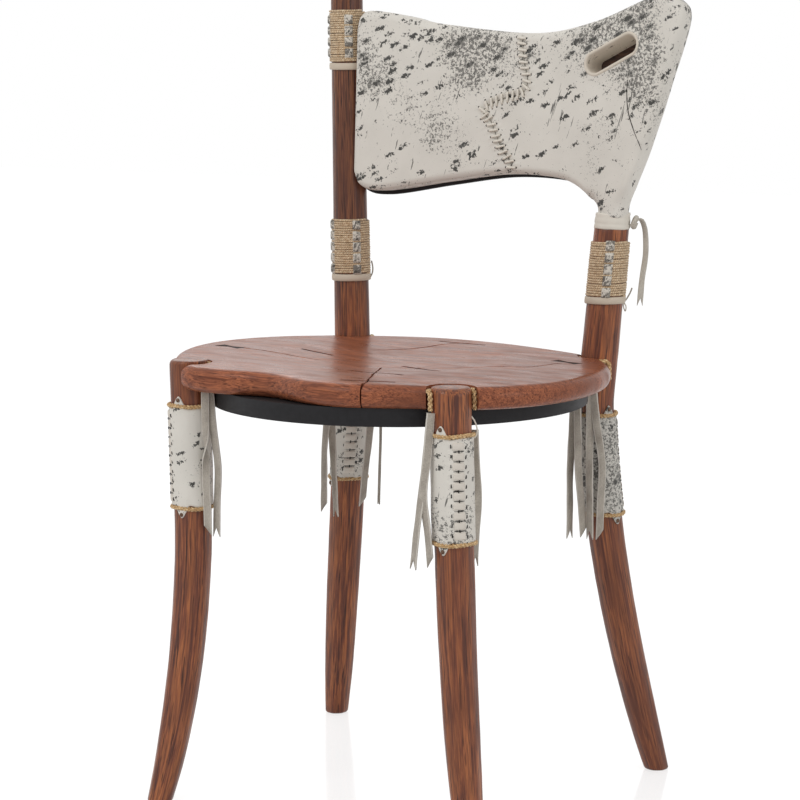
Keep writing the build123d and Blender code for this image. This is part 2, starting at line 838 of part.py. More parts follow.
cuff_top = back_plane.from_local_coords((0, panel_foot, 0)).Z - 3.0

with BuildPart() as tail_cuff:
    add(limb(LEGS["back_right"], cuff_top - cuff_height, cuff_top, cuff_thickness))
    add(leg_parts["back_right"], mode=Mode.SUBTRACT)

cuff_tie = strip(
    around(LEGS["back_right"], cuff_top - cuff_height / 2, tail_facing),
    tie_width, tail_thickness, (23, 0), (33, -0.45 * tie_drop), (29, -tie_drop), tail_point,
)

# ---------------------------------------------------------------------------------------
# One file for each node
# ---------------------------------------------------------------------------------------

NODES = {
    "seat_slab": seat_slab.part,
    "seat_splines": seat_splines.part,
    "seat_bow_ties": seat_bow_ties.part,
    "under_seat_ring": under_seat_ring.part,
    "seat_screws": seat_screws.part,
    "leg_screws": leg_screws.part,
    "back_screws": back_screws.part,
    "board_screws": board_screws.part,
    "sleeve_tacks": sleeve_tacks.part,
    "backrest_board": backrest_board.part,
    "backrest_core": backrest_core.part,
    "backrest_hide_left": backrest_hide_left.part,
    "backrest_hide_right": backrest_hide_right.part,
    "slot_lining": slot_lining.part,
    "seam_stitches": seam_stitches.part,
    "tail_cuff": tail_cuff.part,
    "cuff_tie": cuff_tie,
}
for name in LEGS:
    NODES[f"leg_{name}"] = leg_parts[name]
    NODES[f"joint_cord_{name}"] = joint_cords[name]
    NODES[f"leather_sleeve_{name}"] = sleeves[name]
    NODES[f"sleeve_lacing_{name}"] = lacings[name]
    NODES[f"sleeve_cords_{name}"] = ring_cords[name]
    NODES[f"leather_tails_{name}"] = tails[name]
for name in BINDINGS:
    NODES[f"twine_binding_{name}"] = bindings[name]
    NODES[f"leather_squares_{name}"] = squares[name]
    NODES[f"binding_band_{name}"] = bands[name]

chair_middle = Compound(children=[copy(part) for part in NODES.values()]).bounding_box().center()
to_origin = Location((-chair_middle.X, -chair_middle.Y, 0))
print("middle of the chair's box:", chair_middle.X, chair_middle.Y)

for name, part in NODES.items():
    placed = part.moved(to_origin)
    placed.label = name
    export_step(placed, f"parts/{name}.step")
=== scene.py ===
"""Looks of the side chair: polished wood, laced leather and twine, in a plain studio.

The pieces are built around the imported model, in its frame: metres, +Z up, the sitter faces -Y.
Sizes here are in millimetres, as in the model's own source, from the floor below the seat's
middle. They become metres of the model's frame in placed().
"""

from math import atan2, cos, exp, hypot, pi, radians, sin, sqrt
from random import Random

import bmesh
import bpy
import numpy as np
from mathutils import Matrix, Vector, noise


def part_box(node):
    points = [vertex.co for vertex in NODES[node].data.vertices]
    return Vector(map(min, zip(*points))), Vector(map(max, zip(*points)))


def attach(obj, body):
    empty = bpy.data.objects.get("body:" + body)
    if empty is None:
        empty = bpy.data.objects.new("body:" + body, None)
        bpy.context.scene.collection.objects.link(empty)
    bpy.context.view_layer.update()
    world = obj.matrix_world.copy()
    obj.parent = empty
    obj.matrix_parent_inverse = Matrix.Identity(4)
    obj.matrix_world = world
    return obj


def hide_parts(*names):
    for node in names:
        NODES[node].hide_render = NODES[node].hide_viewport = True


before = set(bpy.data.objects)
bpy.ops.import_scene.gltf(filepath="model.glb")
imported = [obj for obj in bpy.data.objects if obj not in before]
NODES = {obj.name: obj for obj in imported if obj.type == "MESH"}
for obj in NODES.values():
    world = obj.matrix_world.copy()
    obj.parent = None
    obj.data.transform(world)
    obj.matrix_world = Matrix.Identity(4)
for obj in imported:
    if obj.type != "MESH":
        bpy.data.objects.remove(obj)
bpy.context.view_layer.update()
MM = 0.001
ring_low, ring_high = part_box("under_seat_ring")
seat_middle = Vector(((ring_low[0] + ring_high[0]) / 2, (ring_low[1] + ring_high[1]) / 2, 0))

# ---------------------------------------------------------------------------------------
# Sizes, in millimetres, as in the model
# ---------------------------------------------------------------------------------------

seat_height, seat_thickness, seat_fall, seat_radius = 447.0, 24.0, 0.012, 210.0
seat_edge_waves = (
    (0, 14), (22, 7), (43, -3), (64, -22), (86, -26), (110, -18), (137, -3), (160, 20), (180, 30),
    (205, 24), (218, 20), (229, 17), (243, -8), (256, -31), (270, -22), (288, -9), (303, -8), (321, 13),
    (341, 19),
)
rim_round = 10.0
dish_depth, dish_radius = 5.0, 168.0
slab_bottom, above_seat = seat_height - seat_thickness, seat_height + 12
split_direction, split_width, split_reach, split_dent = 292.0, 1.3, 17.0, 2.2
seat_columns, seat_rows = 420, 78
mouth_turn = {"front_left": -30.0}  # how far a notch opens off its leg's outward direction
cracks = (
    (2.3, 0.06, ((73, -190), (72, -173), (38, -106), (4, -39))),
    (3.2, 0.10, ((3, -41), (35, -26), (96, 1), (138, 25), (151, 78))),
    (3.0, 0.20, ((-77, 58), (-41, 94), (-24, 135), (-4, 160))),
    (3.0, 0.20, ((-224, -36), (-207, -21), (-185, -25), (-131, -30), (-83, -34), (-66, -24))),
)
crack_depth = 6.0
straight_keys = (((-2, -88), (70, -103)), ((40, -168), (91, -150)), ((15, -18), (76, -43)),
                 ((-43, 147), (13, 149)), ((-131, 13), (-86, 5)))
bow_ties = (((151, 80), -15), ((-197, -23), -12))
bow_tie_shape = ((-17.3, -6.8), (0, -2.5), (17.3, -6.8), (17.3, 6.8), (0, 2.5), (-17.3, 6.8))
key_bed_half, key_bottom = 2.2, seat_height - dish_depth - 8.0
leg_x, leg_y = 154.5, 144.8
leg_head_radius, leg_foot_radius, ankle_height, foot_round = 19.4, 12.9, 92.0, 3.0
bend_height, tall_top, short_top = 400.0, 876.0, 604.0
leg_sides, leg_step, dent_count = 84, 5.0, 26
head_rounds = {"front_left": 5.0, "front_right": 7.0, "back_left": 6.0, "back_right": 1.0}
cuffed_from, cuffed_waist = 578.5, 3.4  # where the short post gets thinner below its cuff's top, and how much
cord_width, cord_clearance = 4.4, 0.2
sleeve_thickness, tongue_length, tongue_width, tack_reach = 2.0, 13.0, 11.0, 8.0
sleeve_sides, sleeve_rows = 132, 46
lace_pitch = 9.5
tail_width, tail_point, tail_facing = 8.4, 13.0, -57.3
twine_thickness, twine_pitch, twine_steps = 2.4, 2.55, 44
square_pitch = 12.0
band_profile = ((0.2, 0.0), (1.7, 0.1), (2.35, 0.9), (2.5, 3.6), (2.35, 6.6), (1.7, 7.4), (0.2, 7.5))
panel_half, panel_sag, panel_middle, panel_bend_radius = 17.0, 12.0, 6.5, 1026.0
panel_lean = 0.064
leather_columns, leather_rows, board_columns = 560, 96, 420
stitch_pitch = 6.6

LEGS = {
    "front_left": dict(corner=(-1, -1), splay=(14.6, 45.7), curl=2.85, lean=(0, 0), taper=0.0,
                       sleeve=(303, 404), lace_side=223, tongue_side=-86, top=seat_height + 2.5, drift=-5.0),
    "front_right": dict(corner=(1, -1), splay=(39.7, 30.8), curl=2.15, lean=(0, 0), taper=0.0,
                        sleeve=(298, 399), lace_side=-41, tongue_side=-89, top=seat_height, drift=-2.5),
    "back_left": dict(corner=(-1, 1), splay=(69.0, 67.2), curl=1.0, lean=(0.060, 0.064), taper=0.0108,
                      sleeve=(288.5, 392), lace_side=-55, tongue_side=-125, top=tall_top),
    "back_right": dict(corner=(1, 1), splay=(49.4, 52.8), curl=1.65, lean=(0.060, 0.064), taper=0.0200,
                       sleeve=(282, 384), lace_side=43, tongue_side=-20, top=short_top),
}
TAILS = {
    "front_left": ((21.0, 13, 13, 15, 422.7, 274), (18.4, 17.5, 25, 23, 422.7, 272)),
    "front_right": ((11.2, -22, -31, -39, 422.2, 271), (13.4, -22, -29, -22, 422.2, 273),
                    (-18.0, 20, 24, 21, 402, 268)),
    "back_left": (
        (30.0, -25, -31, -32, 404.7, 256), (25.5, -24, -22, -19, 404.7, 250),
        (21.4, 23, 17, 10, 404.7, 261), (14.0, 31, 30, 28, 404.7, 262),
    ),
    "back_right": (
        (12.0, -24, -27, -27, 404.7, 255), (21.0, -21, -19, -13, 404.7, 258),
        (23.4, -8, -8, -7, 422.7, 256), (25.6, -6, 5, 3, 422.7, 256),
    ),
}
BINDINGS = {
    "tall_upper": ("back_left", 744, 803, (-52, -142)),
    "tall_lower": ("back_left", 515, 576, (-38, -128)),
    "short": ("back_right", 507, 567, (-62,)),
}
seam = (
    (47, 345), (53, 302), (58, 282), (53, 269), (32, 263), (11, 255), (5, 247),
    (14, 239), (20, 227), (26, 216), (32, 206), (41, 195), (48, 165),
)
slot_x, slot_h, slot_length, slot_width, slot_turn, slot_depth = 163.0, 309.0, 67.0, 21.0, 25.0, 25.0
slot_columns = 96
slot_lip = ((2.9, -0.7), (2.5, 0.3), (1.8, 0.95), (0.9, 1.2), (0.1, 0.9), (-0.6, 0.1), (-1.0, -1.4),
            (-1.5, -5), (-2.3, -11), (-3.1, -18), (-3.9, 0.5 - slot_depth))
cuff_sides = 72
cuff_profile = ((-1.5, 0.0), (0.2, 0.15), (0.7, 1.0), (0.6, 4.2), (0.1, 5.3), (0.5, 6.6), (0.3, 10.5),
                (-0.2, 12.6), (0.1, 14.6), (-0.4, 16.2), (-2.4, 16.5))


def add_object(name, data):
    """A new object of the scene."""
    obj = bpy.data.objects.new(name, data)
    bpy.context.scene.collection.objects.link(obj)
    return obj


# ---------------------------------------------------------------------------------------
# Camera
# ---------------------------------------------------------------------------------------

camera_turn, camera_tilt = 32.72, 7.95
camera_place = (1489.1, -2316.7, 789.0)
focal_share = 2708 / 800  # focal length over the picture's width

lens = bpy.data.cameras.new("camera")
lens.sensor_width = 36.0
lens.lens = lens.sensor_width * focal_share
camera = add_object("camera", lens)
camera.location = Vector(camera_place) * MM + seat_middle
camera.rotation_euler = (radians(90 - camera_tilt), 0, radians(camera_turn))
bpy.context.scene.camera = camera

# ---------------------------------------------------------------------------------------
# Shared forms
# ---------------------------------------------------------------------------------------


def clamp(value):
    """A value, held between 0 and 1."""
    return min(1.0, max(0.0, value))


def angles(count):
    """Directions spread evenly round a circle, in radians."""
    return [2 * pi * k / count for k in range(count)]


def heading(turn):
    """Level direction, turned from the x axis by an angle in radians."""
    return Vector((cos(turn), sin(turn), 0))


def sideways(direction):
    """The level direction to the left of another."""
    return Vector((-direction.y, direction.x, 0))


def course(line, i):
    """Direction of a line at its point i."""
    return (line[min(len(line) - 1, i + 1)] - line[max(0, i - 1)]).normalized()


def leg_center(leg, z):
    rise = max(z, bend_height) - seat_height
    drop = max(0.0, (bend_height - z) / bend_height) ** leg["curl"]
    across = leg_x + leg["lean"][0] * rise + leg["splay"][0] * drop
    along = leg_y + leg["lean"][1] * rise + leg["splay"][1] * drop
    drift = leg.get("drift", 0.0) * clamp((z - 250) / 190)
    return leg["corner"][0] * across + drift * 0.84, leg["corner"][1] * along + drift * 0.54


def leg_radius(leg, z):
    if z > seat_height:
        return leg_head_radius - leg["taper"] * (z - seat_height) / 2
    return leg_head_radius - (leg_head_radius - leg_foot_radius) * exp(-z / ankle_height)


def on_leg(leg, z, turn, out=0.0):
    """Point at height z and a direction in radians, out from the leg's surface."""
    x, y = leg_center(leg, z)
    r = leg_radius(leg, z) + out
    return Vector((x + r * cos(turn), y + r * sin(turn), z))


def outward(leg):
    return atan2(leg["corner"][1] * leg_y, leg["corner"][0] * leg_x)


def crest(x):
    return seat_height - seat_fall * x


def rough(x, y, z, seed=0.0):
    """Smooth noise from about -1 to 1."""
    return noise.noise(Vector((x + 31.7 * seed, y - 17.3 * seed, z + 5.1 * seed)))


def placed(verts):
    """Points in metres, in the model's frame."""
    return [Vector(v) * MM + seat_middle for v in verts]


def piece(name, verts, faces, material, stands_for=(), flow=None):
    """A piece of the chair, with the nodes that it stands for. flow is each vertex's
    place along the piece, for the material."""
    mesh = bpy.data.meshes.new(name)
    mesh.from_pydata(placed(verts), [], faces)
    mesh.polygons.foreach_set("use_smooth", [True] * len(mesh.polygons))
    if flow is not None:
        layer = mesh.attributes.new("flow", "FLOAT_VECTOR", "POINT")
        layer.data.foreach_set("vector", (np.array([tuple(f) for f in flow], np.float32) * MM).ravel())
    mesh.materials.append(material)
    obj = add_object(name, mesh)
    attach(obj, "root")
    if stands_for:
        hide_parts(*stands_for)
    return obj


def coat(node, material):
    """Gives a node of the model its material."""
    mesh = NODES[node].data
    mesh.materials.clear()
    mesh.materials.append(material)


def grid_faces(rows, columns, closed=True):
    """Quads of a grid of rows and columns; closed joins the last column to the first."""
    faces = []
    for i in range(rows - 1):
        for j in range(columns if closed else columns - 1):
            k = (j + 1) % columns
            faces.append((i * columns + j, i * columns + k, (i + 1) * columns + k, (i + 1) * columns + j))
    return faces


def capped(verts, columns):
    """Quads between the rings that verts are made of, and a face at each end."""
    rows = len(verts) // columns
    faces = grid_faces(rows, columns)
    faces.append(tuple(range(columns - 1, -1, -1)))
    faces.append(tuple((rows - 1) * columns + k for k in range(columns)))
    return faces


class Batch:
    """Collects several meshes into one."""

    def __init__(self):
        self.verts, self.faces, self.flow = [], [], []

    def add(self, verts, faces, flow):
        start = len(self.verts)
        self.verts += verts
        self.flow += flow
        self.faces += [tuple(start + i for i in face) for face in faces]

    def piece(self, name, material, stands_for=(), slot=None):
        return piece(name, self.verts, self.faces, material, stands_for, self.flow)


def smooth_path(points, step):
    """Catmull-Rom points through a few points, about step apart."""
    pts = [Vector(p) for p in points]
    line = []
    for i, (b, c) in enumerate(zip(pts, pts[1:])):
        a = pts[i - 1] if i else b * 2 - c
        d = pts[i + 2] if i + 2 < len(pts) else c * 2 - b
        steps = max(1, round((c - b).length / step))
        for k in range(steps):
            t = k / steps
            line.append(0.5 * ((2 * b) + (c - a) * t + (2 * a - 5 * b + 4 * c - d) * t * t
                               + (3 * b - a - 3 * c + d) * t ** 3))
    return line + [pts[-1]]


def level_path(points, step):
    """The same through the points of a plane."""
    return smooth_path([(x, y, 0) for x, y in points], step)


def axes_along(path, closed=False):
    """Tangent and two normals at each point, turned as little as can be."""
    n = len(path)
    tangents = []
    for i in range(n):
        ahead = path[(i + 1) % n] if closed or i < n - 1 else path[i]
        behind = path[i - 1] if closed or i > 0 else path[i]
        tangents.append((ahead - behind).normalized())
    side = tangents[0].orthogonal().normalized()
    out = []
    for t in tangents:
        side = (side - t * side.dot(t)).normalized()
        out.append((t, side, t.cross(side)))
    return out


def tube(path, radius, sides=8, closed=False, flat=1.0, start=0.0):
    """Round or flattened tube along a path. radius may be a number or a function of the share."""
    verts, flow, run = [], [], start
    for i, (p, (_, n, b)) in enumerate(zip(path, axes_along(path, closed))):
        r = radius(i / (len(path) - 1)) if callable(radius) else radius
        if i:
            run += (p - path[i - 1]).length
        for a in angles(sides):
            verts.append(p + n * (r * cos(a)) + b * (r * flat * sin(a)))
            flow.append((r * cos(a), r * sin(a), run))
    if not closed:
        return verts, capped(verts, sides), flow
    last = (len(path) - 1) * sides
    faces = grid_faces(len(path), sides)
    faces += [(last + k, last + (k + 1) % sides, (k + 1) % sides, k) for k in range(sides)]
    return verts, faces, flow


def rope(batch, path, strand, pitch, closed=False, phase=0.0):
    """Two strands twisted round each other along a path, not quite evenly."""
    strands, wobble = 2, 0.12
    axes = axes_along(path, closed)
    length = sum((b - a).length for a, b in zip(path, path[1:] + path[:1] if closed else path[1:]))
    turns = length / pitch
    if closed:
        turns = round(turns)
    for s in range(strands):
        run, line = 0.0, []
        for i, (p, (_, n, b)) in enumerate(zip(path, axes)):
            if i:
                run += (p - path[i - 1]).length
            a = phase + 2 * pi * (turns * run / length + s / strands)
            lift = strand * (0.92 + wobble * rough(run * 0.21, s * 3.1, phase))
            line.append(p + n * (lift * cos(a)) + b * (lift * sin(a)))
        batch.add(*tube(line, strand * 1.08, 7, closed, start=s * 40.0))


# ---------------------------------------------------------------------------------------
# Materials
# ---------------------------------------------------------------------------------------


class Nodes:
    """Short names for the shader nodes that a material or the sky is made of."""

    def __init__(self, owner):
        self.owner = owner
        owner.use_nodes = True
        self.tree = owner.node_tree

    def put(self, socket, value):
        if isinstance(value, bpy.types.NodeSocket):
            self.tree.links.new(value, socket)
        elif isinstance(value, tuple) and len(value) == 3 and socket.type == "RGBA":
            socket.default_value = (*value, 1.0)
        else:
            socket.default_value = value

    def node(self, kind, outlet=0, settings=None, **inputs):
        made = self.tree.nodes.new("ShaderNode" + kind)
        for key, value in (settings or {}).items():
            setattr(made, key, value)
        for key, value in inputs.items():
            self.put(made.inputs[int(key[1:]) if key[1:].isdigit() else key.replace("_", " ")], value)
        return made.outputs[outlet]

    def flow(self):
        return self.node("Attribute", "Vector", {"attribute_name": "flow"})

    def place(self):
        return self.node("TexCoord", "Object")

    def stretch(self, vector, scale=(1, 1, 1), shift=(0, 0, 0), turn=(0, 0, 0)):
        return self.node("Mapping", Vector=vector, Scale=scale, Location=shift, Rotation=turn)

    def noise(self, vector, scale=1.0, detail=3.0, rough=0.5, distortion=0.0):
        return self.node("TexNoise", Vector=vector, Scale=scale, Detail=detail, Roughness=rough,
                         Distortion=distortion)

    def cells(self, vector, scale, outlet="Distance"):
        return self.node("TexVoronoi", outlet, {"feature": "F1"}, Vector=vector, Scale=scale)

    def ramp(self, value, *stops):
        made = self.tree.nodes.new("ShaderNodeValToRGB")
        self.put(made.inputs[0], value)
        elements = made.color_ramp.elements
        while len(elements) < len(stops):
            elements.new(0.5)
        for element, (place, color) in zip(elements, stops):
            element.position = place
            element.color = (*color, 1.0) if isinstance(color, tuple) else (color, color, color, 1.0)
        return made.outputs[0]

    def math(self, operation, a, b=0.0):
        return self.node("Math", settings={"operation": operation}, _0=a, _1=b)

    def plus(self, a, b):
        return self.math("ADD", a, b)

    def times(self, a, b):
        return self.math("MULTIPLY", a, b)

    def mix(self, share, a, b, blend="MIX"):
        return self.node("Mix", 2, {"data_type": "RGBA", "blend_type": blend}, _0=share, _6=a, _7=b)

    def split(self, vector):
        made = self.tree.nodes.new("ShaderNodeSeparateXYZ")
        self.put(made.inputs[0], vector)
        return made.outputs

    def bump(self, height, strength, distance):
        return self.node("Bump", Height=height, Strength=strength, Distance=distance * MM)

    def direct(self):
        """1 for rays that come straight from the camera, a mirror or glass, 0 for others."""
        kinds = self.tree.nodes.new("ShaderNodeLightPath").outputs
        seen = self.math("MAXIMUM", kinds["Is Camera Ray"], kinds["Is Glossy Ray"])
        return self.math("MAXIMUM", seen, kinds["Is Transmission Ray"])

    def blend(self, share, a, b):
        return self.node("MixShader", _0=share, _1=a, _2=b)

    def both(self, a, b):
        return self.node("AddShader", _0=a, _1=b)

    def show(self, shader, output="Material Output"):
        self.put(self.tree.nodes[output].inputs["Surface"], shader)

    def finish(self, **inputs):
        shader = self.tree.nodes["Principled BSDF"]
        for key, value in inputs.items():
            self.put(shader.inputs[key.replace("_", " ")], value)
        return self.owner


def surface(name):
    return Nodes(bpy.data.materials.new(name))


def srgb(r, g, b):
    """A colour given as it looks on screen, 0 to 255."""
    return tuple((c / 255 / 12.92) if c <= 10 else ((c / 255 + 0.055) / 1.055) ** 2.4 for c in (r, g, b))


def dimmed(color, share):
    return tuple(c * share for c in color)


def wood(name, light, middle, dark, gloss, grain=1.0, attribute=True, coat=0.0, shine=0.35, relief=0.40,
         shade_above=None):
    """Polished wood: long fibres, dark pores, broad bands. The grain runs along flow's third axis.
    Its last argument, a colour, multiplies the colour above the seat: painted shade that darkens the post
    there."""
    n = surface(name)
    base = n.flow() if attribute else n.stretch(n.place(), turn=(0, radians(90), radians(12)))
    bands = n.noise(n.stretch(base, (150 * grain, 150 * grain, 6 * grain)), 1.0, 4.0, 0.66, 1.0)
    fibre = n.noise(n.stretch(base, (540 * grain, 540 * grain, 22 * grain)), 1.0, 3.0, 0.65, 0.3)
    pores = n.noise(n.stretch(base, (640 * grain, 640 * grain, 24 * grain)), 1.0, 2.0, 0.5)
    cloud = n.noise(n.stretch(base, (20, 20, 8)), 1.0, 2.0, 0.5, 0.6)
    color = n.ramp(bands, (0.36, dark), (0.47, middle), (0.56, light), (0.70, middle))
    color = n.mix(n.ramp(fibre, (0.42, 0.0), (0.64, 0.7)), color, dark)
    color = n.mix(n.ramp(fibre, (0.34, 0.45), (0.44, 0.0)), color, dimmed(light, 1.25))
    color = n.mix(n.ramp(pores, (0.34, 0.9), (0.42, 0.0)), color, dimmed(dark, 0.45))
    color = n.mix(n.ramp(cloud, (0.34, 0.6), (0.55, 0.0)), color, dimmed(middle, 0.62))
    # painted shade: the colour above the seat is multiplied by the given colour
    if shade_above:
        above = n.ramp(n.split(base)[2], (0.84, 0.0), (0.92, 1.0))
        color = n.mix(above, color, n.mix(1.0, color, shade_above, "MULTIPLY"))
    height = n.plus(fibre, n.times(n.ramp(pores, (0.30, 0.0), (0.40, 1.0)), 0.8))
    wear = n.noise(n.stretch(base, (60, 60, 22)), 1.0, 3.0, 0.6)
    return n.finish(Base_Color=color, Roughness=n.ramp(wear, (0.35, gloss - 0.05), (0.7, gloss + 0.12)),
                    Normal=n.bump(height, relief, 0.35), Coat_Weight=coat, Coat_Roughness=0.22,
                    Specular_IOR_Level=shine)


def leather(name, pale, mark, dabs, specks, seed, attribute=True, patches=7.0, dab_size=75.0, least=0.0):
    """Pale hide with short slanting dabs of dye, a few scratches, and specks gathered in patches.
    dabs and specks are the shares that they cover at most, from 0 to about 1; least is the share
    of the specks that lies between the patches."""
    n = surface(name)
    base = n.flow() if attribute else n.place()
    base = n.stretch(base, shift=(0.37 * seed, 0.19 * seed, 0.53 * seed))
    grain = n.cells(base, 900.0)
    cloud = n.noise(base, 26.0, 3.0, 0.55)
    speck = n.noise(base, 330.0, 5.0, 0.78)
    torn = n.noise(base, 330.0, 3.0, 0.7)
    slant = n.stretch(n.stretch(base, turn=(0, radians(26), 0)), (0.42, 1, 1))
    spot = n.plus(n.cells(slant, dab_size), n.times(torn, 1.5))
    lucky = n.split(n.cells(slant, dab_size, "Color"))[0]
    other = n.noise(n.stretch(base, shift=(3.1, 1.7, 0.4)), patches * 1.3, 2.0, 0.45)
    lucky = n.math("LESS_THAN", lucky, n.times(n.ramp(other, (0.42, 0.2), (0.56, 1.0)), dabs))
    dab = n.times(n.math("LESS_THAN", spot, 0.99), lucky)
    leaning = n.stretch(base, turn=(0, radians(-16), 0))
    stroke = n.noise(n.stretch(leaning, (1, 1, 0.06)), 260.0, 3.0, 0.6, 0.3)
    line = n.times(n.math("GREATER_THAN", stroke, 0.735 - 0.05 * dabs), 0.85)
    patch = n.ramp(n.noise(base, patches, 2.0, 0.45), (0.51, least), (0.62, 1.0))
    speck_need = n.math("SUBTRACT", 0.675 - 0.02 * specks, n.times(patch, 0.13 * specks))
    fine = n.times(n.math("GREATER_THAN", speck, speck_need), 0.85)
    marks = n.math("MAXIMUM", n.math("MAXIMUM", dab, line), fine)
    color = n.mix(n.ramp(cloud, (0.3, 0.0), (0.7, 0.5)), pale, dimmed(pale, 0.86))
    color = n.mix(marks, color, n.mix(cloud, mark, tuple(c * 1.8 + 0.01 for c in mark)))
    height = n.plus(n.times(grain, 0.5), n.times(n.noise(base, 60.0, 3.0, 0.5), 1.5))
    return n.finish(Base_Color=color, Roughness=n.ramp(cloud, (0.3, 0.60), (0.7, 0.72)),
                    Normal=n.bump(height, 0.30, 0.30), Specular_IOR_Level=0.30, Sheen_Weight=0.06)


def suede(name, pale, dark, seed, edge=0.0):
    """Flesh side of a hide: short nap with a slight mottle; paler past edge metres off its middle."""
    n = surface(name)
    base = n.stretch(n.flow(), shift=(0.31 * seed, 0.7 * seed, 0.11 * seed))
    cloud = n.noise(base, 45.0, 4.0, 0.6)
    nap = n.noise(base, 900.0, 3.0, 0.7)
    color = n.mix(n.ramp(cloud, (0.3, 0.0), (0.72, 1.0)), pale, dark)
    color = n.mix(n.ramp(nap, (0.36, 0.45), (0.56, 0.0)), color, dimmed(dark, 0.45))
    if edge:
        aside = n.math("ABSOLUTE", n.split(n.flow())[0])
        color = n.mix(n.times(n.math("GREATER_THAN", aside, edge), 0.7), color, srgb(226, 220, 210))
    return n.finish(Base_Color=color, Roughness=0.86, Normal=n.bump(nap, 0.45, 0.25), Sheen_Weight=0.25,
                    Sheen_Roughness=0.5, Specular_IOR_Level=0.2)


def yarn(name, light, dark):
    """Waxed yarn: slanting plies, with painted shade in the grooves between them, and fuzz."""
    n = surface(name)
    base = n.flow()
    x, y, z = n.split(base)
    turn = n.math("ARCTAN2", y, x)
    plies = n.math("SINE", n.plus(n.times(turn, 2.0), n.times(z, 2600.0)))
    fuzz = n.noise(n.stretch(base, (700, 700, 420)), 1.0, 3.0, 0.6)
    tone = n.noise(n.stretch(base, (1, 1, 3)), 90.0, 3.0, 0.7)
    color = n.mix(n.ramp(tone, (0.38, 0.0), (0.60, 1.0)), light, dark)
    # painted shade: dark stripes in the grooves between the plies
    color = n.mix(n.ramp(plies, (0.0, 0.55), (0.6, 0.0)), color, dimmed(dark, 0.55))
    color = n.mix(n.ramp(fuzz, (0.34, 0.7), (0.47, 0.0)), color, dimmed(dark, 0.42))
    return n.finish(Base_Color=color, Roughness=0.68, Normal=n.bump(n.plus(plies, fuzz), 0.6, 0.35),
                    Sheen_Weight=0.15, Specular_IOR_Level=0.3)


def paint(name, color, gloss):
    """Brushed satin paint with faint streaks and dust."""
    n = surface(name)
    base = n.place()
    streak = n.noise(n.stretch(base, (30, 30, 220)), 1.0, 3.0, 0.6)
    dust = n.ramp(n.noise(base, 160.0, 4.0, 0.6), (0.35, 0.0), (0.75, 0.35))
    tone = n.mix(dust, color, tuple(min(1.0, c * 1.9 + 0.004) for c in color))
    return n.finish(Base_Color=tone, Roughness=n.ramp(streak, (0.3, gloss), (0.7, gloss + 0.12)),
                    Normal=n.bump(streak, 0.15, 0.2), Specular_IOR_Level=0.22)


def metal(name, color, gloss):
    """Old metal, darker in tarnished patches."""
    n = surface(name)
    tarnish = n.noise(n.place(), 420.0, 4.0, 0.65)
    tone = n.mix(n.ramp(tarnish, (0.35, 0.8), (0.62, 0.0)), color, dimmed(color, 0.35))
    return n.finish(Base_Color=tone, Metallic=0.85,
                    Roughness=n.ramp(tarnish, (0.3, gloss + 0.25), (0.7, gloss)),
                    Normal=n.bump(tarnish, 0.25, 0.15))


LEG_BROWNS = srgb(170, 104, 64), srgb(134, 76, 52), srgb(80, 46, 38)
PALE, MARK = srgb(224, 219, 210), srgb(62, 61, 58)
leg_wood = wood("leg_wood", *LEG_BROWNS, 0.36, coat=0.05, shine=0.28)
# the tall post's wood: the legs' wood with painted shade above the seat
shaded_post_wood = wood("shaded_post_wood", *LEG_BROWNS, 0.36, coat=0.05, shine=0.24, shade_above=(0.60, 0.68, 0.80))
seat_wood = wood("seat_wood", srgb(172, 104, 72), srgb(148, 87, 62), srgb(112, 64, 47), 0.31, 1.5,
                 attribute=False, shine=0.16, relief=0.10)
inlay_wood = wood("inlay_wood", srgb(66, 42, 36), srgb(46, 30, 26), srgb(26, 18, 16), 0.62, shine=0.05)
# wood of the slot's floor, with a darker tone added as painted shade of the pocket
core_wood = wood("core_wood", srgb(90, 62, 46), srgb(72, 48, 36), srgb(46, 30, 24), 0.6)
hide = leather("hide", PALE, MARK, 1.1, 1.15, 1, attribute=False, patches=7.5, dab_size=112.0)
sleeve_hide = {
    leg: leather("sleeve_hide_" + leg, pale, MARK, dabs, specks, seed, patches=patches, dab_size=size,
                 least=least)
    for leg, pale, dabs, specks, seed, patches, size, least in (
        ("front_left", PALE, 0.9, 0.5, 2, 16.0, 120.0, 0.0),
        ("front_right", PALE, 0.8, 1.0, 3, 16.0, 120.0, 0.0),
        ("back_left", PALE, 0.8, 0.8, 4, 16.0, 120.0, 0.0),
        ("back_right", srgb(206, 202, 194), 0.6, 1.3, 5, 20.0, 110.0, 0.72))
}
cream_leather = leather("cream_leather", srgb(202, 188, 170), srgb(140, 124, 106), 0.1, 0.1, 6)
lace_leather = leather("lace_leather", srgb(222, 214, 203), srgb(130, 122, 112), 0.1, 0.2, 7)
lace_cream = leather("lace_cream", srgb(226, 219, 207), srgb(150, 136, 116), 0.0, 0.0, 10)
square_leather = leather("square_leather", srgb(214, 207, 195), srgb(66, 62, 57), 1.2, 1.75, 8,
                         patches=80.0, dab_size=150.0, least=0.45)
lining_leather = leather("lining_leather", srgb(220, 210, 195), srgb(90, 80, 70), 0.5, 0.4, 9,
                         patches=30.0, dab_size=110.0)
strap_suede = suede("strap_suede", srgb(196, 188, 176), srgb(158, 149, 138), 1, edge=0.0033)
strap_pale = suede("strap_pale", srgb(214, 208, 197), srgb(186, 178, 166), 2)
twine_tan = yarn("twine_tan", srgb(250, 228, 194), srgb(208, 176, 138))
cord_gold = yarn("cord_gold", srgb(248, 216, 166), srgb(208, 166, 114))
black_paint = paint("black_paint", srgb(27, 26, 28), 0.46)
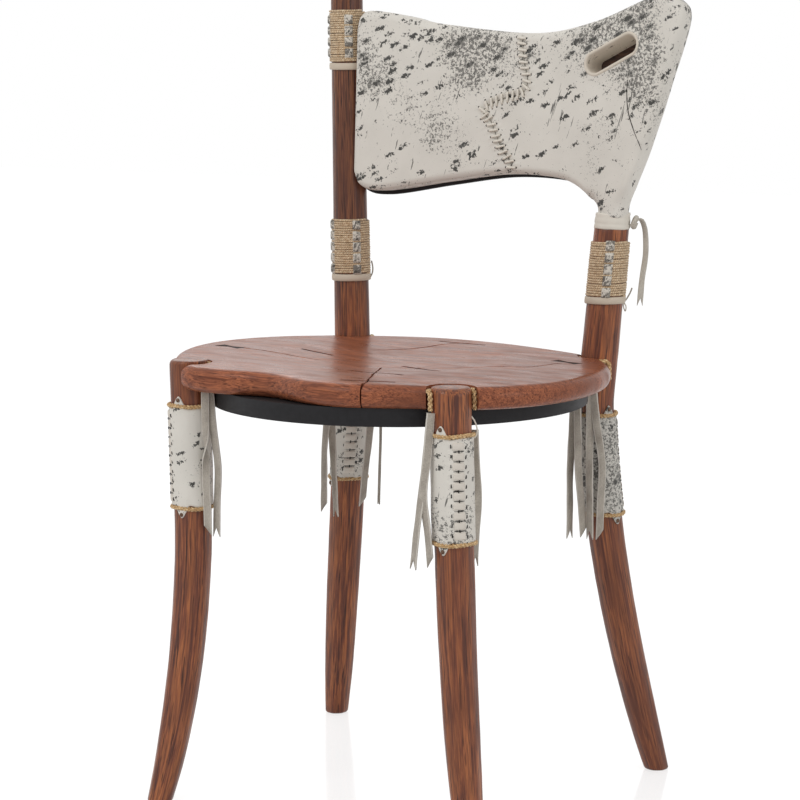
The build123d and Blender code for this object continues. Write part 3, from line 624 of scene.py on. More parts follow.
# painted shade: near-black for the lace holes, the gaps between lace rungs, the stitch holes and the
# leather's crease
painted_shade = paint("painted_shade", srgb(38, 34, 32), 0.7)
tack_metal = metal("tack_metal", srgb(116, 92, 76), 0.42)
screw_metal = metal("screw_metal", srgb(170, 170, 174), 0.32)

# ---------------------------------------------------------------------------------------
# Legs
# ---------------------------------------------------------------------------------------


def rounding(depth, radius):
    """How far a rounded edge lies inside the straight side, depth below its end."""
    if depth >= radius:
        return 0.0
    return radius - sqrt(max(0.0, radius * radius - (radius - depth) ** 2))


def make_leg(name, seed):
    """One leg, shaved by hand: faintly faceted, with a few knots and dents."""
    leg, top = LEGS[name], LEGS[name]["top"]
    flush = name.startswith("front")
    head_round = head_rounds[name]
    luck = Random(seed)
    dents = [(luck.uniform(30, top), luck.uniform(0, 2 * pi), luck.uniform(3, 9), luck.uniform(-0.5, 0.35))
             for _ in range(dent_count)]
    levels = [foot_round * (1 - cos(radians(a))) for a in range(0, 90, 15)]
    z = foot_round
    while z < top - head_round - 1:
        levels.append(z)
        z += leg_step
    levels += [top - head_round * (1 - sin(radians(a))) for a in range(0, 91, 15)]
    verts, flow = [], []

    def carving(z, a, radius):
        """How far the hand-shaved surface stands out from the leg's radius."""
        x, y = cos(a) * radius, sin(a) * radius
        depth = 0.22 * cos(7 * a + 0.004 * z + seed) + 0.30 * rough(0.05 * x, 0.05 * y, 0.013 * z, seed)
        depth += 0.16 * rough(0.16 * x, 0.16 * y, 0.05 * z, seed + 5)
        for dent_z, dent_a, size, dent in dents:
            if abs(z - dent_z) < 2.5 * size:
                gap = abs((a - dent_a + pi) % (2 * pi) - pi) * radius
                if gap < 2.5 * size:
                    depth += dent * exp(-((z - dent_z) ** 2 / 2.2 + gap * gap * 1.6) / (size * size) * 1.4)
        if z > seat_height - 2 and not flush or z < 2:
            depth *= 0.6
        return depth

    def ring(z, share):
        cx, cy = leg_center(leg, z)
        radius = leg_radius(leg, z)
        inset = rounding(z, foot_round)
        if not flush:
            inset += rounding(top - z, head_round)
        for a in angles(leg_sides):
            side_round = 1.2 + (head_round - 1.2) * max(0.0, cos(a - outward(leg))) ** 0.6
            shape = carving(z, a, radius)
            r = (radius - inset - flush * rounding(top - z, side_round) + shape - 0.12) * share
            if name == "back_right":
                r -= cuffed_waist * share * clamp((z - cuffed_from) / 5)
            x, y = cx + r * cos(a), cy + r * sin(a)
            fall = seat_fall * x * clamp((z - 418) / 20) if flush else 0.0
            verts.append((x, y, z - fall))
            flow.append((r * cos(a) + 40 * seed, r * sin(a), z + 130 * seed))

    for share in (0.12, 0.5, 0.85):
        ring(0.0, share)
    for level in levels:
        ring(level, 1.0)
    for share in (0.97, 0.85, 0.6, 0.35, 0.12):
        ring(top, share)
    grain = shaded_post_wood if name == "back_left" else leg_wood
    piece("carved_leg_" + name, verts, capped(verts, leg_sides), grain, ["leg_" + name], flow)


for index, name in enumerate(LEGS):
    make_leg(name, index + 1.0)

# ---------------------------------------------------------------------------------------
# Seat
# ---------------------------------------------------------------------------------------


def through(knots, count):
    """Evenly spaced points on the closed cubic curve through a few points."""
    knots = np.array(knots, float)
    n = len(knots)
    span = np.hypot(*(np.roll(knots, -1, 0) - knots).T)
    system, right = np.zeros((n, n)), np.zeros((n, 2))
    for i in range(n):
        before, after = span[i - 1], span[i]
        system[i, i - 1] += before
        system[i, i] += 2 * (before + after)
        system[i, (i + 1) % n] += after
        right[i] = 6 * ((knots[(i + 1) % n] - knots[i]) / after - (knots[i] - knots[i - 1]) / before)
    bend = np.linalg.solve(system, right)
    line = []
    for i in range(n):
        k, h = (i + 1) % n, span[i]
        for t in np.linspace(0, h, 60, endpoint=False):
            u = h - t
            line.append(bend[i] * u ** 3 / (6 * h) + bend[k] * t ** 3 / (6 * h)
                        + (knots[i] / h - bend[i] * h / 6) * u + (knots[k] / h - bend[k] * h / 6) * t)
    return evenly(np.array(line), count)


def evenly(line, count):
    """A closed line's points, spaced evenly."""
    ring = np.vstack([line, line[:1]])
    run = np.concatenate([[0], np.cumsum(np.hypot(*np.diff(ring, axis=0).T))])
    at = np.linspace(0, run[-1], count, endpoint=False)
    return np.stack([np.interp(at, run, ring[:, 0]), np.interp(at, run, ring[:, 1])], 1)


def inward(line):
    """Unit normals of a closed line that runs anticlockwise, pointing inside."""
    along = np.roll(line, -1, 0) - np.roll(line, 1, 0)
    along /= np.hypot(*along.T)[:, None]
    return np.stack([-along[:, 1], along[:, 0]], 1)


def dish(distance):
    """Height of the dish's surface against the seat's, at a distance from the middle."""
    half = dish_radius / 2
    knots = ((-dish_depth, 0.0), (-0.6 * dish_depth, 0.0575), (2.0, 0.02))
    i = 0 if distance < half else 1
    t = min(1.0, (distance - i * half) / half)
    (a, m), (b, n) = knots[i], knots[i + 1]
    return ((2 * t ** 3 - 3 * t * t + 1) * a + (t ** 3 - 2 * t * t + t) * half * m
            + (3 * t * t - 2 * t ** 3) * b + (t ** 3 - t * t) * half * n)


def seat_top_at(x, y):
    flat, bowl = crest(x), seat_height + dish(hypot(x, y))
    low = min(flat, bowl)
    near = max(0.0, 1 - abs(flat - bowl) / 0.8)
    return low - 0.1 * near * near + 0.28 + 0.28 * rough(x * 0.021, y * 0.021, 0.0)


def prism(outline, low, high):
    """Straight-sided solid over a closed outline, as vertices and faces."""
    n = len(outline)
    verts = [(x, y, low) for x, y in outline] + [(x, y, high) for x, y in outline]
    faces = [tuple(range(n - 1, -1, -1)), tuple(range(n, 2 * n))]
    faces += [(k, (k + 1) % n, n + (k + 1) % n, n + k) for k in range(n)]
    return verts, faces


def plug_faces(n):
    """Faces of a solid between two rings of n points."""
    return ([tuple(range(n)), tuple(range(2 * n - 1, n - 1, -1))]
            + [(k, (k + 1) % n, n + (k + 1) % n, n + k) for k in range(n)])


def trough_faces(n):
    """Faces of a solid with a three-sided section, given as n sections."""
    return [(2, 1, 0), (3 * n - 3, 3 * n - 2, 3 * n - 1)] + grid_faces(n, 3)


def cut(obj, solids):
    """Cuts solids, each a list of vertices in millimetres and faces, out of a piece."""
    verts, faces = [], []
    for solid_verts, solid_faces in solids:
        start = len(verts)
        verts += placed(solid_verts)
        faces += [tuple(start + i for i in face) for face in solid_faces]
    mesh = bpy.data.meshes.new("cutter")
    mesh.from_pydata(verts, [], faces)
    form = bmesh.new()
    form.from_mesh(mesh)
    bmesh.ops.recalc_face_normals(form, faces=form.faces)
    form.to_mesh(mesh)
    form.free()
    cutter = add_object("cutter", mesh)
    tool = obj.modifiers.new("cut", "BOOLEAN")
    tool.object, tool.solver, tool.use_self = cutter, "EXACT", True
    shaped = bpy.data.meshes.new_from_object(obj.evaluated_get(bpy.context.evaluated_depsgraph_get()))
    obj.modifiers.clear()
    old, obj.data = obj.data, shaped
    shaped.name = old.name
    bpy.data.meshes.remove(old)
    bpy.data.objects.remove(cutter)
    bpy.data.meshes.remove(mesh)
    shaped.polygons.foreach_set("use_smooth", [True] * len(shaped.polygons))
    shaped.set_sharp_from_angle(angle=radians(38))


def crack(path, width, depth, seed, taper):
    """A wavering V along a path on the seat, thin at both ends."""
    line = level_path(path, 3.0)
    verts = []
    n = len(line)
    for i, p in enumerate(line):
        side = sideways(course(line, i))
        share = i / (n - 1)
        thin = min(1.0, share / taper, (1 - share) / taper) ** 0.6
        half = max(0.06, 0.5 * width * thin * (0.75 + 0.5 * rough(i * 0.31, seed, 0)))
        p = p + side * (1.1 * rough(i * 0.16, seed + 3.3, 1.0) + 0.35 * rough(i * 0.7, seed, 2.0))
        ground = seat_top_at(p.x, p.y)
        verts += [tuple(p + side * half * 1.6)[:2] + (ground + 2,),
                  tuple(p - side * half * 1.6)[:2] + (ground + 2,),
                  (p.x, p.y, ground - depth * max(0.25, thin))]
    return verts, trough_faces(n)


def seat_edge(columns):
    knots = [((seat_radius + w) * cos(radians(a)), (seat_radius + w) * sin(radians(a)))
             for a, w in seat_edge_waves]
    return through(knots, columns)


def seat_body(columns):
    """The uncut slab: wavy edge, rounded rim with a dent at the split, shallow dish."""
    edge = seat_edge(columns)
    into = inward(edge)
    inner = edge + into * rim_round
    verts = []
    for share in (0.03, 0.35, 0.7, 0.9, 1.0):
        verts += [(x * share, y * share, slab_bottom) for x, y in inner]
    for turn in range(-80, 81, 10):
        a = radians(turn)
        for k, (ex, ey) in enumerate(edge):
            wobble = 0.35 * rough(ex * 0.05, ey * 0.05, turn * 0.01)
            aside = hypot(ex, ey) * sin(atan2(ey, ex) - radians(split_direction))
            if ey < 0:
                wobble += split_dent * exp(-(aside / 5.5) ** 2)
            x, y = edge[k] + into[k] * (rim_round - (rim_round - wobble) * cos(a))
            middle = slab_bottom + rim_round if turn < 0 else crest(x) - rim_round + 0.2
            if turn == 0:
                middle = (slab_bottom + crest(x)) / 2
            verts.append((x, y, middle + rim_round * sin(a)))
    for row in range(seat_rows):
        share = 0.02 + 0.98 * (1 - row / seat_rows)
        verts += [(x * share, y * share, seat_top_at(x * share, y * share)) for x, y in inner]
    return verts


def notch_solid(name):
    """What a leg's notch, open to the outside, takes out of the slab."""
    leg = LEGS[name]
    cx, cy = leg_center(leg, seat_height)
    notch = leg_head_radius + cord_width + 2 * cord_clearance
    out = outward(leg) + radians(mouth_turn.get(name, 0.0))
    arc = [out + pi / 2 + pi * k / 28 for k in range(29)]
    shape = [(cx + notch * cos(a), cy + notch * sin(a)) for a in arc]
    for a in (arc[-1], arc[0]):
        shape.append((cx + notch * cos(a) + 70 * cos(out), cy + notch * sin(a) + 70 * sin(out)))
    return prism(shape, slab_bottom - 5, above_seat)


def split_solid():
    """What the split takes out of the front rim."""
    turn = radians(split_direction)
    ahead, aside = Vector((cos(turn), sin(turn))), Vector((-sin(turn), cos(turn)))
    reach = seat_radius + rim_round
    start = reach - 2 * rim_round - split_reach
    left, right = [], []
    for k in range(9):
        share = k / 8
        spot = ahead * (start + (reach - start) * share)
        drift = 0.7 * rough(share * 3, 4.2, 0)
        left.append(tuple(spot + aside * (split_width * share ** 0.85 + drift + 0.15)))
        right.append(tuple(spot - aside * (split_width * share ** 0.85 - drift + 0.15)))
    return prism(right + left[::-1], slab_bottom - 5, above_seat)


def key_solids():
    """The beds of the straight keys and of the bow ties."""
    solids = []
    for ends in straight_keys:
        a, b = (Vector(end) for end in ends)
        along = (b - a).normalized()
        side = Vector((-along.y, along.x)) * key_bed_half
        a, b = a - along * 0.6, b + along * 0.6
        shape = (a - side, b - side, b + side, a + side)
        solids.append(prism([tuple(p) for p in shape], key_bottom, above_seat))
    for middle, turn in bow_ties:
        along = Vector((cos(radians(turn)), sin(radians(turn))))
        side = Vector((-along.y, along.x))
        shape = [Vector(middle) + along * u + side * v for u, v in bow_tie_shape]
        solids.append(prism([tuple(p) for p in shape], key_bottom, above_seat))
    return solids


body_verts = seat_body(seat_columns)
seat = piece("polished_seat", body_verts, capped(body_verts, seat_columns), seat_wood, ["seat_slab"])
crack_solids = [crack(path, width, crack_depth, 7.0 + number, taper)
                for number, (width, taper, path) in enumerate(cracks)]
cut(seat, [notch_solid(name) for name in LEGS] + crack_solids + [split_solid()] + key_solids())
for node in ("seat_splines", "seat_bow_ties"):
    coat(node, inlay_wood)
coat("under_seat_ring", black_paint)
for node in ("seat_screws", "leg_screws", "back_screws", "board_screws"):
    coat(node, screw_metal)

# ---------------------------------------------------------------------------------------
# Cords between the legs and the seat
# ---------------------------------------------------------------------------------------

cord_recess = {"front_left": 0.8, "front_right": 3.2, "back_left": 0.8, "back_right": 1.6}
for index, (name, leg) in enumerate(LEGS.items()):
    cx, cy = leg_center(leg, seat_height)
    out = outward(leg)
    radius = leg_head_radius + cord_clearance + cord_width / 2
    height = crest(cx) - cord_width / 2 - cord_clearance
    hanging = []
    for side in (pi / 2, -pi / 2):
        foot = Vector((cx + radius * cos(out + side), cy + radius * sin(out + side), 0))
        hanging.append([foot + heading(out) * ahead + Vector((0, 0, height - drop))
                        for ahead, drop in ((4.4, 19), (4.4, 11), (4.0, 4.2), (1.0, 0.9))])
    arc = []
    for k in range(1, 12):
        a = out + pi / 2 + pi * k / 12
        dip = cord_recess[name] * sin(pi * k / 12) ** 0.5
        arc.append(Vector((cx + radius * cos(a), cy + radius * sin(a), height - dip)))
    batch = Batch()
    rope(batch, smooth_path(hanging[0] + arc + hanging[1][::-1], 1.1), 1.30, 9.5, phase=index * 1.3)
    batch.piece("twisted_joint_cord_" + name, cord_gold, ["joint_cord_" + name], "twine")

# ---------------------------------------------------------------------------------------
# Leather sleeves, their lacing, rings of cord and tacks
# ---------------------------------------------------------------------------------------


def patch(batch, leg, z, turn, half_width, half_height, out, lift, rows=7, columns=9, skew=0.0, sink=1.2):
    """A padded piece of leather that lies on a leg's surface, tucked in all round."""
    verts, flow = [], []
    for i in range(rows):
        v = -1 + 2 * i / (rows - 1)
        for j in range(columns):
            u = -1 + 2 * j / (columns - 1)
            rise = lift * max(0.0, 1 - u ** 4) ** 0.7 * max(0.0, 1 - v ** 4) ** 0.7
            edge = sink * (max(abs(u), abs(v)) > 0.99)
            height = z + v * half_height + skew * u
            angle = turn + u * half_width / (leg_radius(leg, z) + out)
            verts.append(on_leg(leg, height, angle, out + rise - edge))
            flow.append((u * half_width, rise + z * 0.37, v * half_height + z))
    batch.add(verts, grid_faces(rows, columns, closed=False), flow)


def dome(batch, at, facing, radius, height, rings=5, sides=14):
    """A round head that stands on a surface."""
    facing = facing.normalized()
    side = facing.orthogonal().normalized()
    up = facing.cross(side)
    verts, flow = [], []
    for i in range(rings):
        a = radians(90 * i / rings)
        for b in angles(sides):
            verts.append(at + side * (radius * cos(a) * cos(b)) + up * (radius * cos(a) * sin(b))
                         + facing * (height * sin(a)))
            flow.append((radius * cos(b), radius * sin(b), height * i))
    verts.append(at + facing * height)
    flow.append((0, 0, height * rings))
    last = (rings - 1) * sides
    faces = grid_faces(rings, sides)
    faces += [(last + k, last + (k + 1) % sides, last + sides) for k in range(sides)]
    faces.append(tuple(range(sides - 1, -1, -1)))
    batch.add(verts, faces, flow)


def tongue(gap):
    """Height of the pointed tongue at a distance round the leg from its middle."""
    share = abs(gap) / (tongue_width / 2 + 1.5)
    if share >= 1:
        return 0.0
    return tongue_length * (1 - share) ** 0.85 if share > 0.25 else tongue_length * (0.92 - 0.55 * share)


def make_sleeve(name, seed):
    """A leg's sleeve with its bulges and tongues, lacing, rings of cord and tacks."""
    leg = LEGS[name]
    low, high = leg["sleeve"]
    seam_turn, tongue_turn = radians(leg["lace_side"]), radians(leg["tongue_side"])
    verts, flow = [], []

    def round_leg(a, middle):
        """Distance round the leg from one direction to another."""
        return ((a - middle + pi) % (2 * pi) - pi) * leg_head_radius

    def ring(share, out):
        for a in angles(sleeve_sides):
            to_seam, to_tongue = round_leg(a, seam_turn), round_leg(a, tongue_turn)
            reach = tongue(to_tongue)
            fray = 0.5 * rough(cos(a) * 3, sin(a) * 3, seed)
            notch = 1.1 * exp(-(abs(to_tongue) - 10) ** 2 / 14)
            bottom = low - reach + fray + notch
            z = bottom + (high + reach + fray - notch - bottom) * share
            bulge = 0.0
            if out > 1:
                middle = min(1.0, 8 * share, 8 * (1 - share))
                bulge = 0.45 * rough(cos(a) * 1.6, sin(a) * 1.6, z * 0.045, seed) * middle
                bulge += 0.28 * rough(cos(a) * 4, sin(a) * 4, z * 0.02, seed + 9)
                beat = 0.5 + 0.5 * cos(2 * pi * (z - low) / lace_pitch)
                bulge += 0.95 * beat * exp(-(abs(to_seam) - 7.0) ** 2 / 9)
                bulge -= 0.6 * exp(-(abs(to_tongue) - 9) ** 2 / 16) * (1 - middle)
            verts.append(on_leg(leg, z, a, out + bulge))
            flow.append((leg_head_radius * cos(a), leg_head_radius * sin(a), z + 30.0 * seed))

    for share, out in ((0.0, 0.25), (0.0, 1.4)):
        ring(share, out)
    for row in range(sleeve_rows + 1):
        ring(0.004 + 0.992 * row / sleeve_rows, sleeve_thickness)
    for share, out in ((1.0, 1.4), (1.0, 0.25)):
        ring(share, out)
    piece("laced_sleeve_" + name, verts, grid_faces(len(verts) // sleeve_sides, sleeve_sides),
          sleeve_hide[name], ["leather_sleeve_" + name], flow)

    rungs, lace_shade = Batch(), Batch()
    count = int((high - low - 0.4 * lace_pitch) // lace_pitch)
    first = (low + high - (count - 1) * lace_pitch) / 2
    for k in range(count):
        z = first + k * lace_pitch
        shift = 0.5 * rough(k * 2.9, seed, 5) / leg_head_radius
        patch(rungs, leg, z, seam_turn + shift, 6.4 + 0.5 * rough(k * 1.9, seed, 2), 4.25,
              sleeve_thickness - 0.1, 1.6, 9, 17, skew=0.5 * rough(k * 1.7, seed, 0), sink=0.9)
        # Dark dots at each rung's ends, and between the rungs a dark strip with a dash: painted shade of the
        # lace holes and of the gaps between rungs.
        for side in (-1, 1):
            turn = seam_turn + side * 7.5 / (leg_radius(leg, z) + 2)
            patch(lace_shade, leg, z - 0.6 * side, turn, 0.75, 2.3, sleeve_thickness + 0.75, 0.35, 5, 5, sink=0.8)
        if k < count - 1:
            middle = z + lace_pitch / 2
            patch(lace_shade, leg, middle, seam_turn, 6.2, 0.5, sleeve_thickness + 0.35, 0.3, 3, 11, sink=0.5)
            dash = seam_turn + 1.6 * rough(k * 3.3, seed, 8) / leg_head_radius
            patch(lace_shade, leg, middle, dash, 0.6, 1.7 + 0.8 * rough(k * 2.3, seed, 4),
                  sleeve_thickness + 1.25, 0.5, 5, 5, sink=0.5)
    rungs.piece("lacing_" + name, lace_leather, ["sleeve_lacing_" + name], "lace")
    lace_shade.piece("lace_shade_" + name, painted_shade, slot="lace")

    rings = Batch()
    for z, order in ((low - 1.6, 0), (high + 1.6, 1)):
        circle = [on_leg(leg, z + 0.5 * sin(3 * a + seed), a, 1.75) for a in angles(96)]
        rope(rings, circle, 1.22, 7.2, closed=True, phase=seed + order)
    rings.piece("cord_rings_" + name, cord_gold, ["sleeve_cords_" + name], "twine")
    for z in (low - tack_reach, high + tack_reach):
        dome(tacks, on_leg(leg, z, tongue_turn, sleeve_thickness + 0.15), heading(tongue_turn), 2.2, 1.3)


tacks = Batch()
for index, name in enumerate(LEGS):
    make_sleeve(name, 1.7 * index + 0.6)
tacks.piece("domed_tacks", tack_metal, ["sleeve_tacks"], "brass")

# ---------------------------------------------------------------------------------------
# Leather tails and the cuff's tie
# ---------------------------------------------------------------------------------------

ahead_of_leg = heading(radians(tail_facing))
beside_leg = sideways(ahead_of_leg)


def ribbon(batch, path, width, thickness, point, turn_at, curl, seed):
    """A strip of leather along a path, cut slanting or forked. turn_at gives its twist at each share."""
    runs = [0.0]
    for a, b in zip(path, path[1:]):
        runs.append(runs[-1] + (b - a).length)
    length, across, rows = runs[-1], 8, len(path)
    frames = []
    for i, run in enumerate(runs):
        along = course(path, i)
        twist = turn_at(run / length)
        level = beside_leg * cos(twist) + ahead_of_leg * sin(twist)
        side = (level - along * level.dot(along)).normalized()
        frames.append((path[i], side, side.cross(along)))

    def at_run(run):
        i = max(0, min(rows - 2, int(np.searchsorted(runs, run)) - 1))
        t = (run - runs[i]) / (runs[i + 1] - runs[i])
        return [a + (b - a) * t for a, b in zip(frames[i], frames[i + 1])]

    verts, flow = [], []
    for i, run in enumerate(runs):
        for layer in (1, -1):
            for k in range(across + 1)[::layer]:
                u = -1 + 2 * k / across
                clipped = 0.8 * point * ((u + 1) / 2 if seed % 2 < 1 else 1 - abs(u)) + 0.4
                spot, side, face = at_run(run * (1 - clipped / length))
                half = width / 2 * (0.94 + 0.08 * rough(run * 0.05, seed, 0))
                bow = curl * (u * u - 0.5) * (0.6 + 0.6 * rough(run * 0.03, seed, 3))
                verts.append(spot + side * (u * half) + face * (bow + layer * thickness / 2))
                flow.append((u * half, layer * 1.0, run + 50 * seed))
    n = 2 * (across + 1)
    faces = grid_faces(rows, n)
    for k in range(across):
        for start, turned in ((0, False), ((rows - 1) * n, True)):
            quad = (start + k, start + k + 1, start + n - 2 - k, start + n - 1 - k)
            faces.append(quad if turned else quad[::-1])
    batch.add(verts, faces, flow)


def tail_line(center, front, points, ease):
    """Smooth path in front of a leg through (sideways, height) points, each eased forwards."""
    return smooth_path([center + ahead_of_leg * (front + e) + beside_leg * s + Vector((0, 0, z))
                        for (s, z), e in zip(points, ease)], 4.0)


twists = {
    "front_left": ((0.15, 3.3, 0.42, 1.0), (0.0, 0.5, 0.2, 1.4)),
    "front_right": ((0.1, 0.7, 0.3, 1.0), (-0.3, 1.0, 0.35, 0.9), (0.3, -0.9, 0.4, 1.3)),
    "back_left": ((0.1, 0.6, 0.3, 0.8), (-0.2, 1.0, 0.5, 1.2), (0.2, -0.8, 0.4, 0.8), (1.0, 0.2, 0.3, 0.5)),
    "back_right": ((0.2, -0.9, 0.35, 1.1), (0.5, -0.9, 0.3, 1.0), (-0.3, 0.9, 0.5, 1.4),
                   (0.4, -0.7, 0.3, 1.2)),
}
for index, (name, leg) in enumerate(LEGS.items()):
    cx, cy = leg_center(dict(leg, drift=0.0), TAILS[name][0][4])
    batch = Batch()
    for k, (front, at_top, at_middle, at_low, high, low) in enumerate(TAILS[name]):
        start, change, where, curl = twists[name][k]
        narrow = (name, k) == ("back_left", 3)
        drop = high - low
        points = [(at_top, high), (at_top * 0.55 + at_middle * 0.45, high - 0.27 * drop),
                  (at_middle, high - 0.52 * drop), (at_middle * 0.4 + at_low * 0.6, high - 0.78 * drop),
                  (at_low, low)]
        ease = (0.8, 1.2, 0.8 + 1.5 * rough(k * 2.1, index, 0), 0.6, 0.8)
        line = tail_line(Vector((cx, cy, 0)), front, points, ease)
        seed = 3 * index + k + 0.3 * k

        def turn_at(share):
            rise = 1 / (1 + exp(-(share - where) * 16))
            return start + change * rise + 0.18 * rough(share * 5, seed, 0)

        ribbon(batch, line, tail_width * (0.62 if narrow else 1.0), 1.5, tail_point, turn_at, curl, seed)
    batch.piece("curled_tails_" + name, strap_suede, ["leather_tails_" + name], "strap_leather")

# ---------------------------------------------------------------------------------------
# Twine bindings, their woven leather squares and the bands below them
# ---------------------------------------------------------------------------------------

for index, (name, (post, low, high, columns)) in enumerate(BINDINGS.items()):
    leg = LEGS[post]
    turns = int((high - low - 1.5) / twine_pitch)
    line = []
    for k in range(turns * twine_steps + 1):
        turn = k / twine_steps
        wander = 0.40 * rough(turn * 0.9, index * 3.0, 0) + 0.34 * rough(turn * 5, index, 4)
        z = low + 1.3 + twine_pitch * turn + wander
        line.append(on_leg(leg, z, 2 * pi * turn, 1.15 + 0.22 * rough(turn * 2.3, index, 7)))
    batch = Batch()
    batch.add(*tube(line, lambda share: 1.24 + 0.24 * rough(share * turns * 8, index, 9), 8))
    batch.piece("wound_twine_" + name, twine_tan, ["twine_binding_" + name], "twine")
    squares = Batch()
    count = int((high - low) // square_pitch)
    for direction in columns:
        for k in range(count):
            z = (low + high) / 2 + (k - (count - 1) / 2) * square_pitch
            patch(squares, leg, z + 0.3 * rough(k * 2.2, direction, 0),
                  radians(direction + 1.5 * rough(k, direction, 2)), 4.9, 5.4, twine_thickness + 0.1, 1.45,
                  8, 8, skew=0.6 * rough(k, 5.5, direction), sink=0.6)
    squares.piece("woven_squares_" + name, square_leather, ["leather_squares_" + name], "strap_leather")
    verts, flow = [], []
    for out, up in band_profile:
        for a in angles(64):
            z = low - 6.5 + up + 0.35 * sin(a + index)
            verts.append(on_leg(leg, z, a, out + 0.12 * rough(cos(a) * 3, sin(a) * 3, index)))
            flow.append((19 * cos(a), 19 * sin(a), z))
    piece("leather_band_" + name, verts, grid_faces(len(band_profile), 64), cream_leather,
          ["binding_band_" + name], flow)

# ---------------------------------------------------------------------------------------
# Backrest: one leather-covered body, its seam, stitches, finger slot, cuff and tie
# ---------------------------------------------------------------------------------------

panel_up = Vector((0, panel_lean, 1)).normalized()
panel_back = Vector((0, 1, -panel_lean)).normalized()
board_face = 7.0 - panel_half
panel_top, panel_foot = 354.0, 142.0
cuff_height, cuff_top = 16.5, 594.0
board_back, board_lip, wrap = 16.9, 4.0, 9.0
panel_core = np.array([90.0, 262.0])  # where the rows of the panel and of the board close in on
short_post, tall_post = LEGS["back_right"], LEGS["back_left"]
tail_x = leg_center(short_post, seat_height + 158)[0]
tail_half = 16.0
side_x = leg_center(tall_post, seat_height + 177)[0] + leg_radius(tall_post, seat_height + 177) - 2
panel_mid = (side_x + tail_x) / 2


def on_panel(x, h, front):
    """Point of the bent panel: x across, h up from the seat, front ahead of its middle surface."""
    y = panel_sag - panel_bend_radius + sqrt((panel_bend_radius - front) ** 2 - (x - panel_middle) ** 2)
    return Vector((x, leg_y, seat_height)) + panel_up * h + panel_back * y


def panel_outline(count):
    over = ((side_x - 5, 334), (side_x - 1, 348.5), (side_x + 13, 354.5), (side_x + 58, 348.5),
            (side_x + 96, 341), (panel_mid + 54, 331.5), (tail_x - 28, 343), (tail_x + 46, 368),
            (tail_x + 74, 365), (tail_x + 85, 344), (tail_x + 66, 283), (tail_x + 41, 212),
            (tail_x + 23, 170), (tail_x + tail_half, panel_foot))
    under = ((tail_x - tail_half, panel_foot), (tail_x - 21, 157), (tail_x - 44, 174), (tail_x - 74, 181.5),
             (panel_mid + 20, 182.5), (side_x + 103, 172.5), (side_x + 30, 160.5), (side_x + 5, 165),
             (side_x - 3.5, 180))
    line = [tuple(p)[:2] for part in (over, under) for p in level_path(part, 2.0)]
    return evenly(np.array(line[::-1]), count)


seam_line = level_path(((45, 356),) + seam + ((52, 150),), 1.0)
seam_points = np.array([(p.x, p.y) for p in seam_line])
slot_turn_rad = radians(slot_turn)
slot_along = Vector((cos(slot_turn_rad), sin(slot_turn_rad)))
slot_across = Vector((-slot_along.y, slot_along.x))


def slot_gap(x, h):
    """Distance from the slot's outline, below zero inside it."""
    u = (x - slot_x) * slot_along.x + (h - slot_h) * slot_along.y
    v = (x - slot_x) * slot_across.x + (h - slot_h) * slot_across.y
    straight = slot_length / 2 - slot_width / 2
    u = max(0.0, abs(u) - straight)
    return hypot(u, v) - slot_width / 2


def leather_at(x, h):
    """How far the leather's surface lies ahead of the panel's middle surface."""
    swell = 0.75 * rough(x * 0.011, h * 0.014, 0.0, 2) + 0.35 * rough(x * 0.035, h * 0.035, 0.0, 3)
    swell += 0.12 * rough(x * 0.11, h * 0.11, 0.0, 4)
    gap = 99.0
    if -20 < x < 83:
        gaps = np.hypot(seam_points[:, 0] - x, seam_points[:, 1] - h)
        nearest = int(gaps.argmin())
        gap = float(gaps[nearest])
    if gap < 24:
        beat = 0.5 + 0.5 * cos(2 * pi * nearest / 6.6)
        swell += 0.9 * exp(-((gap - 6.0) / 4.5) ** 2) * (0.35 + 0.65 * beat)
        swell -= 1.5 * exp(-(gap / 3.4) ** 2)
        swell += 0.35 * exp(-((gap - 12) / 6) ** 2) * rough(nearest * 0.09, gap * 0.05, 1.0)
    ring = slot_gap(x, h)
    if ring < 20:
        swell += 0.7 * exp(-((ring - 3.0) / 4.0) ** 2) - 0.9 * exp(-((ring - 11.0) / 4.0) ** 2) * 0.4
    return panel_half - 0.25 + swell * 0.9


def on_body(x, h, front):
    """Point of the panel, rounded at its tail and held off the tall post and the twine on it."""
    round_share = clamp((176 - h) / 26)
    round_share *= round_share * (3 - 2 * round_share)
    if round_share:
        reach = tail_half + 0.5 + 0.2 * max(0.0, h - 142)
        u, v = max(-1.0, min(1.0, (x - tail_x) / reach)), max(-1.0, min(1.0, front / panel_half))
        if abs(x - tail_x) < reach * 1.2:
            x += round_share * (reach * u * sqrt(1 - v * v / 2) - reach * u)
            front += round_share * (panel_half * v * sqrt(1 - u * u / 2) - panel_half * v)
    p = on_panel(x, h, front)
    for leg, low, high, grow in ((tall_post, 447, 870, 0.25), (tall_post, 736, 804, 3.0)):
        if low < p.z < high and x < side_x + 30:
            cx, cy = leg_center(leg, p.z)
            away = Vector((p.x - cx, p.y - cy))
            need = leg_radius(leg, p.z) + grow
            if away.length < need:
                away = away.normalized() * need
                p = Vector((cx + away.x, cy + away.y, p.z))
    return p


def softened(line, width, rounds):
    """A closed line, smoothed by running means."""
    for _ in range(rounds):
        line = sum(np.roll(line, k, 0) for k in range(-width, width + 1)) / (2 * width + 1)
    return line


def under_share(edge, into):
    """How much each point of the outline belongs to the lower edge, where the leather ends early."""
    level = np.clip((into[:, 1] + 0.15) / 0.35, 0, 1) * np.clip((tail_x - 15 - edge[:, 0]) / 8, 0, 1)
    return level * (edge[:, 1] < 195)


crease = ((186, 292), (184, 273), (186, 253), (194, 233), (205, 212))


def board_front(x):
    """How far ahead the board reaches: it comes forward at the lower left corner."""
    return board_face + 9.0 * clamp((side_x + 50 - x) / 50)


